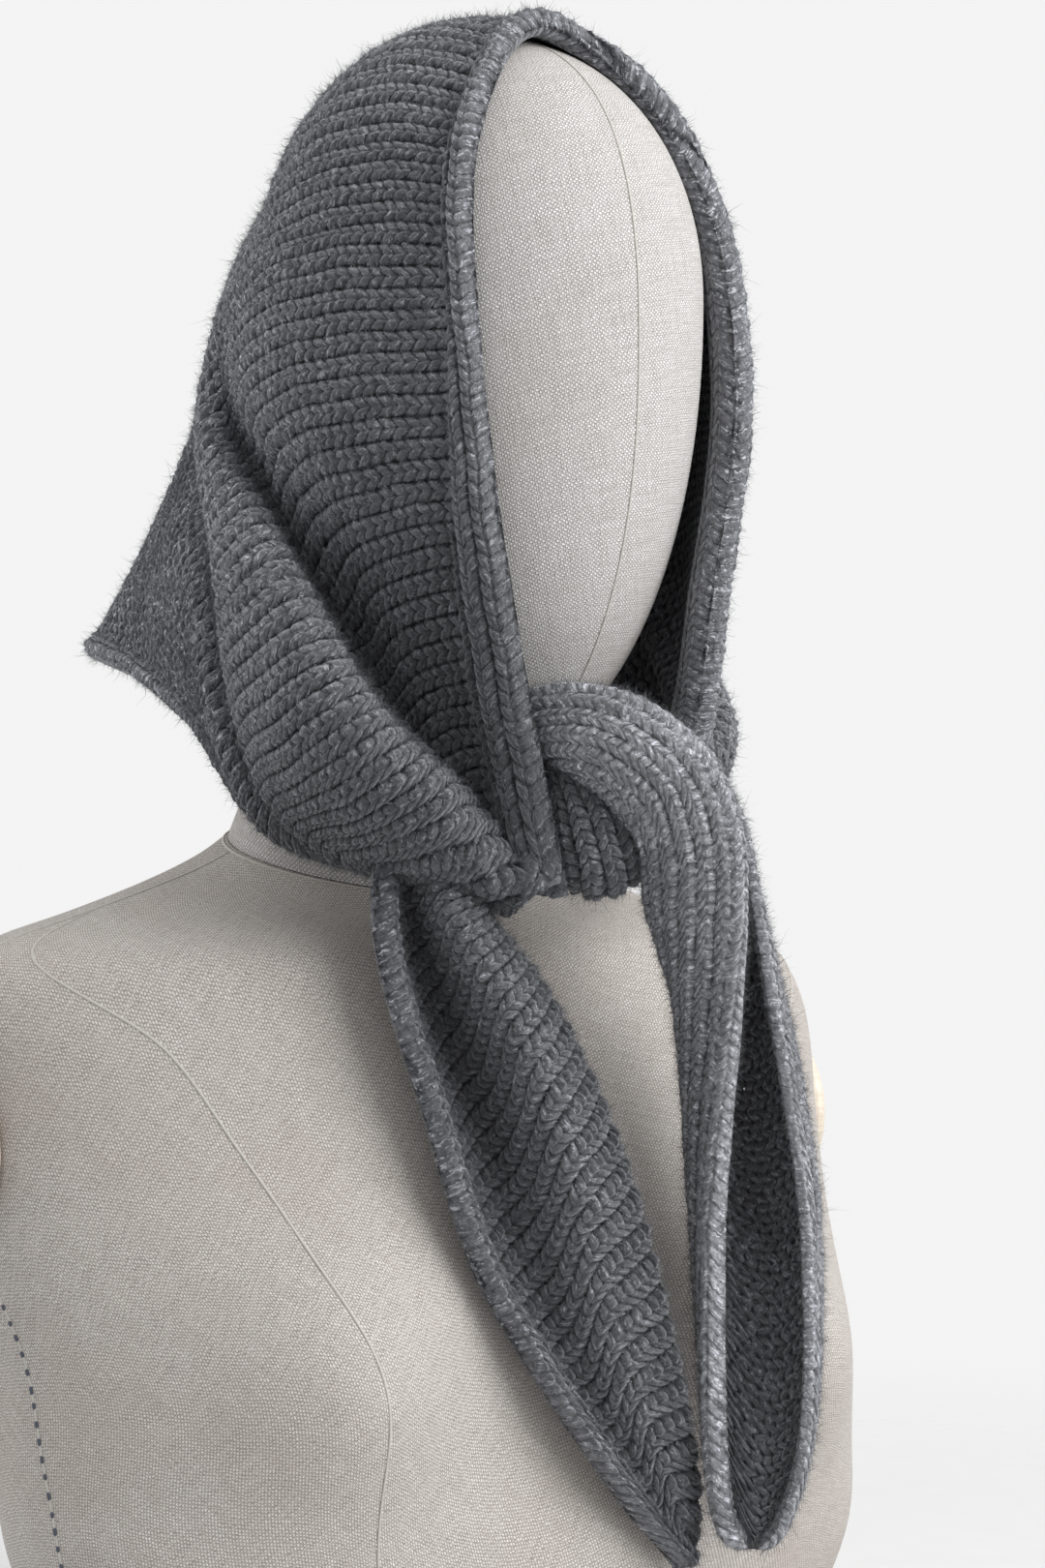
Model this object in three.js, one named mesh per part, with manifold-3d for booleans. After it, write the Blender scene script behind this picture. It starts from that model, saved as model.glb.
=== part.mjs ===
// Knit bandana worn as a hood and tied under the chin of a linen dress form.
//
// Millimetres, +Z up. The face looks along -Y and the wearer's left is +X. The
// origin is the centre of the base plate's underside. Every table gives its
// heights from the chin datum and its depths from the axis of the head; one
// group lifts and shifts the whole to the origin.

import * as THREE from "three";
import { mergeVertices } from "three/addons/utils/BufferGeometryUtils.js";
import Module from "manifold-3d";

// ---- Driving sizes ---------------------------------------------------------

const CHIN_HEIGHT = 352; // chin datum above the surface the form stands on
const BASE_BEHIND = 18; // the base plate's centre lies this far behind the head's axis
const SEAM = 0.3; // clearance between pieces that touch

const LINING_GAP = 1.1; // between the head and the cloth that rests on it
const CLOTH = 5; // thickness of the knit between two wales
const WALE = 16; // width of one column of stitches
const WALE_RISE = 1.6; // how far a wale stands above the groove beside it
const SELVEDGE = 13; // width of the rolled selvedge on the long edge
const CLOTH_DEPTH = 380; // from the long edge to the back point, over the crown
const TAIL_WIDTH = 60; // across a tail's section, from selvedge to hem
const SELVEDGE_RISE = 2.4; // how far the roll stands above the cloth on each face

const HEAD = { halfWidth: 77.5, front: 92, back: 86, top: 281.5, widest: 180, chin: 8, power: 2.08 };
const BUST = { apart: 108, height: -214, across: 50, tall: 54, rise: 36 };
const BASE = { thick: 14, halfWide: 158, halfDeep: 88, bevel: 3 };
const ARMHOLE = 190; // half width where the torso is cut flat for the caps
const CAP = { y: 68, z: -134, halfDeep: 36, halfTall: 36, thick: 7, bevel: 2.5 };

// The knot and tails face this far to the wearer's right.
const TURN = THREE.MathUtils.degToRad(-36);

// ---- Section tables ----------------------------------------------------------

// Torso, top to bottom. z height, half width, front and back of the middle line,
// mid depth of the widest place, tilt (rise per mm to the back), and the
// squareness of the front and back halves.
const TORSO = [
  { z: -27, half: 74, front: -11, back: 108, mid: 50, tilt: 0.252, nFront: 2.0, nBack: 2.0 },
  { z: -34, half: 88, front: -15, back: 113, mid: 56, tilt: 0.2, nFront: 2.0, nBack: 2.0 },
  { z: -41.5, half: 110, front: -19, back: 118, mid: 62, tilt: 0.13, nFront: 2.0, nBack: 2.1 },
  { z: -50, half: 138, front: -23, back: 122, mid: 67, tilt: 0.07, nFront: 2.0, nBack: 2.3 },
  { z: -58, half: 166, front: -27, back: 126, mid: 69, tilt: 0.03, nFront: 2.0, nBack: 2.5 },
  { z: -68, half: 184, front: -31, back: 130, mid: 70, tilt: 0, nFront: 2.0, nBack: 2.7 },
  { z: -82, half: 194, front: -36, back: 134, mid: 70, tilt: 0, nFront: 2.0, nBack: 2.9 },
  { z: -100, half: 198, front: -41, back: 137, mid: 69, tilt: 0, nFront: 2.0, nBack: 2.9 },
  { z: -130, half: 198, front: -47, back: 140, mid: 67, tilt: 0, nFront: 2.0, nBack: 2.9 },
  { z: -168, half: 195, front: -52, back: 142, mid: 60, tilt: 0, nFront: 2.05, nBack: 2.7 },
  { z: -212, half: 186, front: -55, back: 141, mid: 40, tilt: 0, nFront: 2.15, nBack: 2.4 },
  { z: -252, half: 177, front: -59, back: 134, mid: 28, tilt: 0, nFront: 2.2, nBack: 2.2 },
  { z: -292, half: 165, front: -66, back: 110, mid: 21, tilt: 0, nFront: 2.2, nBack: 2.2 },
  { z: -337.7, half: 150, front: -62, back: 98, mid: 18, tilt: 0, nFront: 2.2, nBack: 2.2 },
];

// Neck, bottom to top; the lowest ring lies on the neck seam.
const NECK = [
  { z: -27, half: 73.5, front: -11, back: 108, mid: 50, tilt: 0.252, nFront: 2.0, nBack: 2.0 },
  { z: -8, half: 69, front: -10, back: 102, mid: 47, tilt: 0.12, nFront: 2.0, nBack: 2.0 },
  { z: 8, half: 64, front: -11, back: 98, mid: 44, tilt: 0.04, nFront: 2.0, nBack: 2.0 },
  { z: 34, half: 59, front: -17, back: 88, mid: 36, tilt: 0, nFront: 2.0, nBack: 2.0 },
  { z: 64, half: 55, front: -24, back: 76, mid: 26, tilt: 0, nFront: 2.0, nBack: 2.0 },
  { z: 96, half: 50, front: -30, back: 64, mid: 17, tilt: 0, nFront: 2.0, nBack: 2.0 },
];

// Hood: seven arches over the head, from the long front edge (back 0) to the two
// short edges that meet at the back point (back 1). Each arch is given where it
// crosses the crown and at four stations down each side, [x, y, z].
const STATION_RUN = { crown: 0, temple: 80, cheek: 160, jaw: 254, knot: 335 }; // along the front edge
const RIGHT_ARCHES = [
  {
    back: 0, crown: [0, -42, 279], temple: [-49, -67, 230],
    cheek: [-53, -74, 155], jaw: [-42, -80, 60], knot: [-26, -87, -30],
  },
  {
    back: 0.15, crown: [0, 14, 278], temple: [-62, -22, 229],
    cheek: [-80, -30, 150], jaw: [-57, -53, 52], knot: [-35, -73, -30],
  },
  {
    back: 0.29, crown: [-2, 62, 250], temple: [-66, 28, 217],
    cheek: [-88, 16, 140], jaw: [-73, -37, 38], knot: [-49, -72, -30],
  },
  {
    back: 0.43, crown: [-8, 97, 226], temple: [-61, 72, 191],
    cheek: [-84, 54, 120], jaw: [-93, -16, 22], knot: [-61, -60, -31],
  },
  {
    back: 0.6, crown: [-18, 120, 174], temple: [-57, 98, 148],
    cheek: [-84, 72, 90], jaw: [-92, 12, 6], knot: [-68, -42, -31],
  },
  {
    back: 0.79, crown: [-36, 143, 110], temple: [-62, 121, 97],
    cheek: [-82, 74, 54], jaw: [-86, 18, -10], knot: [-61, -31, -31],
  },
  {
    back: 1, crown: [-58, 179, 49], temple: [-74, 120, 39],
    cheek: [-80, 68, 20], jaw: [-72, 20, -15], knot: [-45, -36, -31],
  },
];
const LEFT_ARCHES = [
  { back: 0, temple: [50, -62, 228], cheek: [61, -73, 152], jaw: [47.5, -74.5, 62], knot: [41, -72, 4] },
  { back: 0.15, temple: [62, -22, 229], cheek: [80, -28, 150], jaw: [60, -48, 54], knot: [46, -62, -2] },
  { back: 0.29, temple: [66, 28, 217], cheek: [88, 18, 140], jaw: [77, -40, 40], knot: [52, -56, -8] },
  { back: 0.43, temple: [61, 72, 190], cheek: [86, 58, 118], jaw: [92, -12, 24], knot: [58, -46, -16] },
  { back: 0.6, temple: [50, 100, 146], cheek: [86, 76, 82], jaw: [92, 16, 8], knot: [61, -35, -22] },
  { back: 0.79, temple: [26, 130, 86], cheek: [80, 84, 40], jaw: [86, 22, -6], knot: [58, -26, -26] },
  { back: 1, temple: [4, 146, 28], cheek: [70, 86, 8], jaw: [76, 24, -10], knot: [50, -20, -24] },
];

// Folds of the hood, each a ridge (rise > 0) or a trough (rise < 0) along the long
// edge: the distance run (minus to the wearer's right), the share back in the
// cloth, the half width as such a share and the rise.
const HOOD_FOLDS = [
  [
    { run: -330, back: 0.17, wide: 0.11, rise: 0 },
    { run: -290, back: 0.22, wide: 0.11, rise: -9 },
    { run: -250, back: 0.28, wide: 0.11, rise: -16 },
    { run: -200, back: 0.33, wide: 0.1, rise: -19 },
    { run: -150, back: 0.4, wide: 0.095, rise: -11 },
    { run: -90, back: 0.45, wide: 0.09, rise: 0 },
  ],
  [
    { run: -336, back: 0.48, wide: 0.2, rise: 0 },
    { run: -290, back: 0.44, wide: 0.14, rise: 4 },
    { run: -230, back: 0.45, wide: 0.11, rise: 6 },
    { run: -150, back: 0.52, wide: 0.1, rise: 4 },
    { run: -90, back: 0.55, wide: 0.1, rise: 0 },
  ],
  [
    { run: -280, back: 0.78, wide: 0.14, rise: 0 },
    { run: -220, back: 0.7, wide: 0.13, rise: -4 },
    { run: -150, back: 0.68, wide: 0.09, rise: -10 },
    { run: -90, back: 0.7, wide: 0.09, rise: -6 },
    { run: -30, back: 0.72, wide: 0.09, rise: 0 },
  ],
  [
    { run: 60, back: 0.46, wide: 0.1, rise: 0 },
    { run: 120, back: 0.43, wide: 0.1, rise: -5 },
    { run: 200, back: 0.36, wide: 0.09, rise: -12 },
    { run: 280, back: 0.25, wide: 0.1, rise: -10 },
    { run: 336, back: 0.18, wide: 0.14, rise: -3 },
  ],
  [
    { run: 30, back: 0.72, wide: 0.09, rise: 0 },
    { run: 110, back: 0.7, wide: 0.09, rise: -8 },
    { run: 200, back: 0.66, wide: 0.1, rise: -8 },
    { run: 280, back: 0.75, wide: 0.12, rise: 0 },
  ],
];

// Tails and knot stand in the turned frame: across to the wearer's left, out
// away from the chest, z height.

// Right tail, root to tip: the knit side faces out. The section runs from the
// selvedge over a dip and a crest and turns under to the hem, [across, out],
// and climbs by the slope for each mm across.
const RIGHT_TAIL = [
  { z: -35.5, slope: 0, edge: [-38, 75], dip: [-28, 69], crest: [-17, 80], turn: [-4, 76], hem: [-6, 66] },
  { z: -59.1, slope: 0.2, edge: [-36, 79], dip: [-25, 67], crest: [-12, 83], turn: [5, 77], hem: [3, 67] },
  { z: -87.3, slope: 0.37, edge: [-29, 80], dip: [-17, 65], crest: [-1, 83], turn: [21, 74], hem: [18, 64] },
  { z: -115.6, slope: 0.37, edge: [-20, 79], dip: [-7, 65], crest: [12, 82], turn: [36, 72], hem: [33, 62] },
  { z: -151, slope: 0.37, edge: [-9, 81], dip: [5, 69], crest: [25, 82], turn: [49.5, 72], hem: [46.5, 62] },
  { z: -179.5, slope: 0.37, edge: [1, 82], dip: [14, 73], crest: [34.5, 81], turn: [56.5, 72], hem: [54.5, 63] },
  { z: -215.4, slope: 0.37, edge: [22, 80], dip: [32.5, 74], crest: [46.5, 76], turn: [65.5, 69], hem: [64.5, 61] },
  { z: -248.7, slope: 0.37, edge: [43.5, 72], dip: [51, 68], crest: [61, 67], turn: [74, 62], hem: [74, 55] },
  { z: -271.1, slope: 0.37, edge: [58, 63], dip: [63, 60], crest: [70.5, 58.5], turn: [78.5, 55], hem: [80.5, 50] },
  { z: -285.2, slope: 0.3, edge: [69.5, 56], dip: [72.5, 54.5], crest: [75.5, 53], turn: [78.5, 51.5], hem: [81, 49] },
];

// Left tail, root to tip: a cupped leaf with its purl side in the hollow. The
// section is an oval, half wide and deep, open towards the front by the gape
// angle each side of straight out.
const LEFT_TAIL = [
  { across: 26.9, out: 72, z: 23.9, half: 7, deep: 7, gape: 12 },
  { across: 38, out: 80, z: 21, half: 9.5, deep: 9, gape: 12 },
  { across: 52.2, out: 87, z: 14, half: 14.6, deep: 11, gape: 12 },
  { across: 67.4, out: 87, z: 0, half: 18.6, deep: 13, gape: 12 },
  { across: 75.4, out: 84, z: -19.1, half: 19.6, deep: 14, gape: 13 },
  { across: 80.2, out: 72, z: -42.4, half: 20.2, deep: 15, gape: 16 },
  { across: 89.9, out: 54, z: -73.3, half: 18.8, deep: 16, gape: 24 },
  { across: 97.4, out: 41, z: -110.8, half: 20.5, deep: 16, gape: 36 },
  { across: 102.3, out: 37, z: -154.2, half: 22.1, deep: 15, gape: 50 },
  { across: 104.1, out: 42, z: -194.9, half: 21, deep: 13, gape: 58 },
  { across: 104.4, out: 47, z: -231.3, half: 18.4, deep: 11, gape: 64 },
  { across: 103.4, out: 48, z: -255.8, half: 13.8, deep: 8.5, gape: 70 },
  { across: 101.8, out: 49, z: -273.2, half: 7.2, deep: 5.5, gape: 76 },
];

// Knot band, top to bottom: the right wing's end fans over the front and curls under.
const KNOT_BAND = [
  { across: 27.7, out: 76.5, z: 10, half: 5, thick: 3 },
  { across: 33.2, out: 79, z: 0, half: 9, thick: 4.5 },
  { across: 39.2, out: 82, z: -14, half: 13, thick: 6 },
  { across: 42.7, out: 81, z: -27, half: 14, thick: 6.5 },
  { across: 43.7, out: 73, z: -35, half: 14, thick: 6 },
  { across: 43.7, out: 62, z: -34, half: 12, thick: 5 },
];

// Knot core: the inner turn behind the band, across the throat.
const KNOT_CORE = [
  { across: 12, out: 55, z: -12, half: 11, thick: 9 },
  { across: 29, out: 63, z: -8, half: 15, thick: 11 },
  { across: 45, out: 60, z: -7, half: 17, thick: 12 },
  { across: 62, out: 47, z: -8, half: 14, thick: 10 },
  { across: 76, out: 30, z: -7.6, half: 9, thick: 7 },
];

// ---- Curves and surfaces -----------------------------------------------------

const clamp01 = (t) => Math.min(1, Math.max(0, t));
const smooth = (t) => clamp01(t) ** 2 * (3 - 2 * clamp01(t));

// A smooth curve through numbers or points given at rising knots.
function curveThrough(knots, values) {
  const isPoint = Array.isArray(values[0]);
  const rows = isPoint ? values : values.map((value) => [value]);
  const last = knots.length - 1;
  const slope = (i, k) => {
    const before = Math.max(0, i - 1);
    const after = Math.min(last, i + 1);
    return (rows[after][k] - rows[before][k]) / (knots[after] - knots[before]);
  };
  return (t) => {
    let i = 0;
    while (i < last - 1 && t > knots[i + 1]) i += 1;
    const width = knots[i + 1] - knots[i];
    const s = clamp01((t - knots[i]) / width);
    const point = rows[i].map((start, k) => {
      const end = rows[i + 1][k];
      const rise = width * slope(i, k);
      const fall = width * slope(i + 1, k);
      return (2 * s ** 3 - 3 * s ** 2 + 1) * start + (s ** 3 - 2 * s ** 2 + s) * rise
        + (3 * s ** 2 - 2 * s ** 3) * end + (s ** 3 - s ** 2) * fall;
    });
    return isPoint ? point : point[0];
  };
}

// A surface f(u, v) through a net of points: one column curve for each station.
function surfaceThrough(uKnots, vKnots, net) {
  const columns = net.map((column) => curveThrough(uKnots, column));
  return (u, v) => curveThrough(vKnots, columns.map((column) => column(u)))(v);
}

// Unit normal of f at (u, v), to the side that side (+1 or -1) picks.
function normalOf(f, u, v, side) {
  const step = 2e-3;
  const at = (a, b) => new THREE.Vector3(...f(clamp01(a), clamp01(b)));
  const du = at(u + step, v).sub(at(u - step, v));
  const dv = at(u, v + step).sub(at(u, v - step));
  return du.cross(dv).normalize().multiplyScalar(side);
}

// The point of face at (u, v), raised along the normal on that side.
function lifted(face, u, v, side, rise) {
  return new THREE.Vector3(...face(u, v)).addScaledVector(normalOf(face, u, v, side), rise).toArray();
}

// Closed geometry from points and triangles of their indices, merged.
function geometryFrom(points, triangles) {
  const geometry = new THREE.BufferGeometry();
  geometry.setAttribute("position", new THREE.Float32BufferAttribute(points.flat(), 3));
  geometry.setIndex(triangles);
  const merged = mergeVertices(geometry, 1e-3);
  merged.computeVertexNormals();
  return merged;
}

// A sheet wall over (u, v) in 0..1: outer(u, v) and inner(u, v) are its two
// faces, and four strips close its edges.
function wall(outer, inner, uSteps, vSteps, flip = false) {
  const points = [];
  const triangles = [];
  const quad = (a, b, c, d) => {
    if (flip) triangles.push(a, c, b, a, d, c);
    else triangles.push(a, b, c, a, c, d);
  };
  for (const face of [outer, inner]) {
    for (let i = 0; i <= uSteps; i += 1) {
      for (let j = 0; j <= vSteps; j += 1) points.push(face(i / uSteps, j / vSteps));
    }
  }
  const row = vSteps + 1;
  const under = (uSteps + 1) * row;
  const at = (i, j, face = 0) => face * under + i * row + j;
  for (let i = 0; i < uSteps; i += 1) {
    for (let j = 0; j < vSteps; j += 1) {
      quad(at(i, j), at(i + 1, j), at(i + 1, j + 1), at(i, j + 1));
      quad(at(i, j + 1, 1), at(i + 1, j + 1, 1), at(i + 1, j, 1), at(i, j, 1));
    }
  }
  for (let i = 0; i < uSteps; i += 1) {
    quad(at(i, 0), at(i, 0, 1), at(i + 1, 0, 1), at(i + 1, 0));
    quad(at(i + 1, vSteps), at(i + 1, vSteps, 1), at(i, vSteps, 1), at(i, vSteps));
  }
  for (let j = 0; j < vSteps; j += 1) {
    quad(at(0, j + 1), at(0, j + 1, 1), at(0, j, 1), at(0, j));
    quad(at(uSteps, j), at(uSteps, j, 1), at(uSteps, j + 1, 1), at(uSteps, j + 1));
  }
  return geometryFrom(points, triangles);
}

// A closed solid through rings of equal length, with a fan at each end.
function loft(rings, flip = false) {
  const points = rings.flat();
  const count = rings[0].length;
  const triangles = [];
  const add = (a, b, c) => (flip ? triangles.push(a, c, b) : triangles.push(a, b, c));
  for (let r = 0; r < rings.length - 1; r += 1) {
    for (let i = 0; i < count; i += 1) {
      const next = (i + 1) % count;
      const low = r * count;
      const high = low + count;
      add(low + i, low + next, high + next);
      add(low + i, high + next, high + i);
    }
  }
  const middle = (ring) => [0, 1, 2].map((k) => ring.reduce((sum, p) => sum + p[k], 0) / count);
  const first = points.push(middle(rings[0])) - 1;
  const final = points.push(middle(rings[rings.length - 1])) - 1;
  const top = (rings.length - 1) * count;
  for (let i = 0; i < count; i += 1) {
    const next = (i + 1) % count;
    add(first, next, i);
    add(final, top + i, top + next);
  }
  return geometryFrom(points, triangles);
}

// ---- Dress form ----------------------------------------------------------------

const RING_POINTS = 44;

// One ring of a torso or neck row, with the bust raised on its front.
function bodyRing(row, withBust, lift = 0) {
  const ring = [];
  for (let i = 0; i < RING_POINTS; i += 1) {
    const angle = (2 * Math.PI * i) / RING_POINTS;
    const c = Math.cos(angle);
    const s = Math.sin(angle);
    const power = 2 / (s < 0 ? row.nFront : row.nBack);
    const deep = s < 0 ? row.mid - row.front : row.back - row.mid;
    const x = row.half * Math.sign(c) * Math.abs(c) ** power;
    let y = row.mid + deep * Math.sign(s) * Math.abs(s) ** power;
    const z = row.z + lift + row.tilt * (y - row.mid);
    if (withBust && s < 0) {
      const across = (Math.abs(x) - BUST.apart) / BUST.across;
      const up = (z - BUST.height) / BUST.tall;
      y -= BUST.rise * Math.exp(-(across ** 2) - up ** 2) * smooth(-2.5 * s);
    }
    ring.push([x, y, z]);
  }
  return ring;
}

// Rows filled in between a table's own by smooth curves.
function filledRows(table, perGap) {
  const keys = Object.keys(table[0]);
  const knots = table.map((_, i) => i);
  const curves = keys.map((key) => curveThrough(knots, table.map((row) => row[key])));
  const rows = [];
  for (let i = 0; i <= (table.length - 1) * perGap; i += 1) {
    rows.push(Object.fromEntries(keys.map((key, k) => [key, curves[k](i / perGap)])));
  }
  return rows;
}


// The head below the brow of the cloth: an egg, fuller below its widest ring.
function eggGeometry() {
  const rings = [];
  const steps = 20;
  for (let i = 1; i < steps; i += 1) {
    const angle = (Math.PI * i) / steps;
    const up = Math.cos(angle);
    const reach = up > 0 ? HEAD.top - HEAD.widest : HEAD.widest - HEAD.chin;
    const z = HEAD.widest + reach * Math.sign(up) * Math.abs(up) ** (2 / HEAD.power);
    const share = Math.sin(angle) ** (2 / HEAD.power);
    const ring = [];
    for (let k = 0; k < RING_POINTS; k += 1) {
      const turn = (2 * Math.PI * k) / RING_POINTS;
      const deep = Math.sin(turn) < 0 ? HEAD.front : HEAD.back;
      ring.push([HEAD.halfWidth * share * Math.cos(turn), deep * share * Math.sin(turn), z]);
    }
    rings.push(ring);
  }
  return loft(rings, true);
}

// The neck leans forward from the tilted neck seam up into the head.
function neckGeometry() {
  return loft(filledRows(NECK, 2).map((row) => bodyRing(row, false, SEAM)));
}

const wasm = await Module();
wasm.setup();

function solidOf(geometry) {
  const bare = new THREE.BufferGeometry().setAttribute("position", geometry.getAttribute("position"));
  const merged = mergeVertices(bare.setIndex(geometry.index), 1e-3);
  return new wasm.Manifold(new wasm.Mesh({
    numProp: 3,
    vertProperties: merged.getAttribute("position").array,
    triVerts: new Uint32Array(merged.index.array),
  }));
}

function geometryOf(solid) {
  const mesh = solid.getMesh();
  const geometry = new THREE.BufferGeometry();
  geometry.setAttribute("position", new THREE.BufferAttribute(mesh.vertProperties, 3));
  geometry.setIndex(new THREE.BufferAttribute(mesh.triVerts, 1));
  geometry.computeVertexNormals();
  return geometry;
}

function headGeometry() {
  return geometryOf(solidOf(eggGeometry()).add(solidOf(neckGeometry())));
}

// The torso, cut flat at both armholes.
function torsoGeometry() {
  const rows = filledRows(TORSO, 2);
  const whole = solidOf(loft(rows.map((row) => bodyRing(row, true)), true));
  const kept = new THREE.BoxGeometry(2 * ARMHOLE, 600, 600).translate(0, 0, -200);
  return geometryOf(whole.intersect(solidOf(kept)));
}

// ---- Cloth ---------------------------------------------------------------------

// Height of the wales' relief at a distance run along the long edge.
const waleRelief = (run) => WALE_RISE * (0.5 - 0.5 * Math.cos((2 * Math.PI * run) / WALE));

// Extra half thickness of the selvedge roll at a distance in from the long edge.
const rollRelief = (inward) => SELVEDGE_RISE * Math.sin(Math.PI * clamp01(inward / SELVEDGE)) ** 0.7;

// How far one fold lifts the cloth at a distance run and a share back.
function foldThrough(rows) {
  const curve = curveThrough(rows.map((row) => row.run), rows.map((row) => [row.back, row.wide, row.rise]));
  const [first, last] = [rows[0].run, rows.at(-1).run];
  return (run, back) => {
    if (run <= first || run >= last) return 0;
    const [centre, wide, rise] = curve(run);
    return rise * Math.exp(-(((back - centre) / wide) ** 2));
  };
}

// A point of the lining, moved out to rest on the head where it would enter it.
function overHead([x, y, z]) {
  const up = (z - HEAD.widest) / (z > HEAD.widest ? HEAD.top - HEAD.widest : HEAD.widest - HEAD.chin);
  const out = Math.hypot(x / HEAD.halfWidth, y / (y < 0 ? HEAD.front : HEAD.back));
  const level = (out ** HEAD.power + Math.abs(up) ** HEAD.power) ** (1 / HEAD.power);
  const scale = Math.max(1, (1 + LINING_GAP / HEAD.halfWidth) / level);
  return [x * scale, y * scale, HEAD.widest + (z - HEAD.widest) * scale];
}

// The hood's lining before its folds, over the share back u and the run v.
function hoodSheet() {
  const right = ["knot", "jaw", "cheek", "temple"];
  const left = ["temple", "cheek", "jaw", "knot"];
  const net = [
    ...right.map((name) => RIGHT_ARCHES.map((arch) => arch[name])),
    RIGHT_ARCHES.map((arch) => arch.crown),
    ...left.map((name) => LEFT_ARCHES.map((arch) => arch[name])),
  ];
  const runs = [
    ...right.map((name) => -STATION_RUN[name]),
    0,
    ...left.map((name) => STATION_RUN[name]),
  ];
  return surfaceThrough(RIGHT_ARCHES.map((arch) => arch.back), runs, net);
}

function hoodGeometry() {
  const end = STATION_RUN.knot;
  const sheet = hoodSheet();
  const plain = (u, v) => overHead(sheet(u, end * (2 * v - 1)));
  const folds = HOOD_FOLDS.map(foldThrough);
  const folded = (u, v) => {
    const run = end * (2 * v - 1);
    return lifted(plain, u, v, -1, folds.reduce((sum, rise) => sum + rise(run, u), 0));
  };
  const outer = (u, v) => {
    const run = end * (2 * v - 1);
    const inward = u * CLOTH_DEPTH;
    const wales = waleRelief(run) * smooth(inward / SELVEDGE - 0.8);
    return lifted(folded, u, v, -1, CLOTH + rollRelief(inward) + wales);
  };
  const inner = (u, v) => lifted(folded, u, v, -1, -0.3 * rollRelief(u * CLOTH_DEPTH));
  // Rows crowd together across the selvedge.
  const warp = (t) => (t < 0.12 ? t * 0.45 : 0.054 + ((t - 0.12) * 0.946) / 0.88);
  return wall((u, v) => outer(warp(u), v), (u, v) => inner(warp(u), v), 20, 84, true);
}

function rightTailGeometry() {
  const columns = ["edge", "dip", "crest", "turn", "hem"];
  const [top, bottom] = [RIGHT_TAIL[0].z, RIGHT_TAIL.at(-1).z];
  const knots = RIGHT_TAIL.map((row) => (top - row.z) / (top - bottom));
  const net = columns.map((name) => RIGHT_TAIL.map((row) => {
    const [across, out] = row[name];
    return [across, -out, row.z + row.slope * (across - row.edge[0])];
  }));
  const sheet = surfaceThrough(knots, [0, 0.24, 0.5, 0.82, 1], net);
  const outer = (u, v) => {
    const wales = waleRelief(u * (top - bottom)) * smooth(v * 6);
    return lifted(sheet, u, v, 1, wales + rollRelief(v * TAIL_WIDTH));
  };
  // The cloth thins where it folds under to the hem.
  const inner = (u, v) => lifted(sheet, u, v, 1, CLOTH * (0.5 * smooth((v - 0.65) / 0.2) - 1));
  return wall(outer, inner, 32, 12);
}

// Frames along a path of rows: the point and two cross axes, carried along without
// twist from a start that faces out.
function framesOf(rows) {
  const path = rows.map((row) => new THREE.Vector3(row.across, -row.out, row.z));
  let face = new THREE.Vector3(0, -1, 0);
  return path.map((point, i) => {
    const along = path[Math.min(i + 1, path.length - 1)].clone().sub(path[Math.max(i - 1, 0)]).normalize();
    face = face.clone().addScaledVector(along, -face.dot(along)).normalize();
    return { point, face, side: new THREE.Vector3().crossVectors(along, face) };
  });
}

function leftTailGeometry() {
  const rows = filledRows(LEFT_TAIL, 2);
  const frames = framesOf(rows);
  const last = rows.length - 1;
  const at = (shrink) => (u, v) => {
    const i = Math.round(u * last);
    const { point, face, side } = frames[i];
    const row = rows[i];
    const gape = THREE.MathUtils.degToRad(row.gape);
    const angle = gape + v * 2 * (Math.PI - gape);
    const half = row.half - shrink;
    const deep = row.deep - shrink;
    return point.clone()
      .addScaledVector(side, half * Math.sin(angle))
      .addScaledVector(face, deep * Math.cos(angle))
      .toArray();
  };
  return wall(at(0), at(CLOTH - 1), last, 16, true);
}

// A soft strap of oval section through a table of rows.
function strapGeometry(table, points = 20) {
  const rows = filledRows(table, 3);
  const rings = framesOf(rows).map(({ point, face, side }, i) => {
    const ring = [];
    for (let k = 0; k < points; k += 1) {
      const angle = (2 * Math.PI * k) / points;
      ring.push(point.clone()
        .addScaledVector(side, rows[i].half * Math.cos(angle))
        .addScaledVector(face, rows[i].thick * Math.sin(angle))
        .toArray());
    }
    return ring;
  });
  return loft(rings, true);
}

// ---- Wooden parts --------------------------------------------------------------

function ovalShape(halfWide, halfHigh) {
  return new THREE.Shape().absellipse(0, 0, halfWide, halfHigh, 0, 2 * Math.PI);
}

function plate(halfWide, halfHigh, thick, bevel) {
  return new THREE.ExtrudeGeometry(ovalShape(halfWide - bevel, halfHigh - bevel), {
    depth: thick - 2 * bevel,
    bevelSize: bevel,
    bevelThickness: bevel,
    bevelSegments: 2,
    curveSegments: 14,
  }).translate(0, 0, bevel);
}

// ---- Assembly ------------------------------------------------------------------

const finish = (color, roughness) => new THREE.MeshStandardMaterial({ color, roughness, metalness: 0 });
const KNIT = finish(0x54565b, 0.95);
const LINEN = finish(0xb9b1a6, 0.9);
const WOOD = finish(0xd9c3a0, 0.55);

function addMesh(group, name, geometry, material) {
  const mesh = new THREE.Mesh(geometry, material);
  mesh.name = name;
  group.add(mesh);
  return mesh;
}

const part = new THREE.Group();
const body = new THREE.Group();
body.position.set(0, -BASE_BEHIND, CHIN_HEIGHT);
part.add(body);
const turned = new THREE.Group();
turned.rotation.z = TURN;
body.add(turned);

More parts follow.
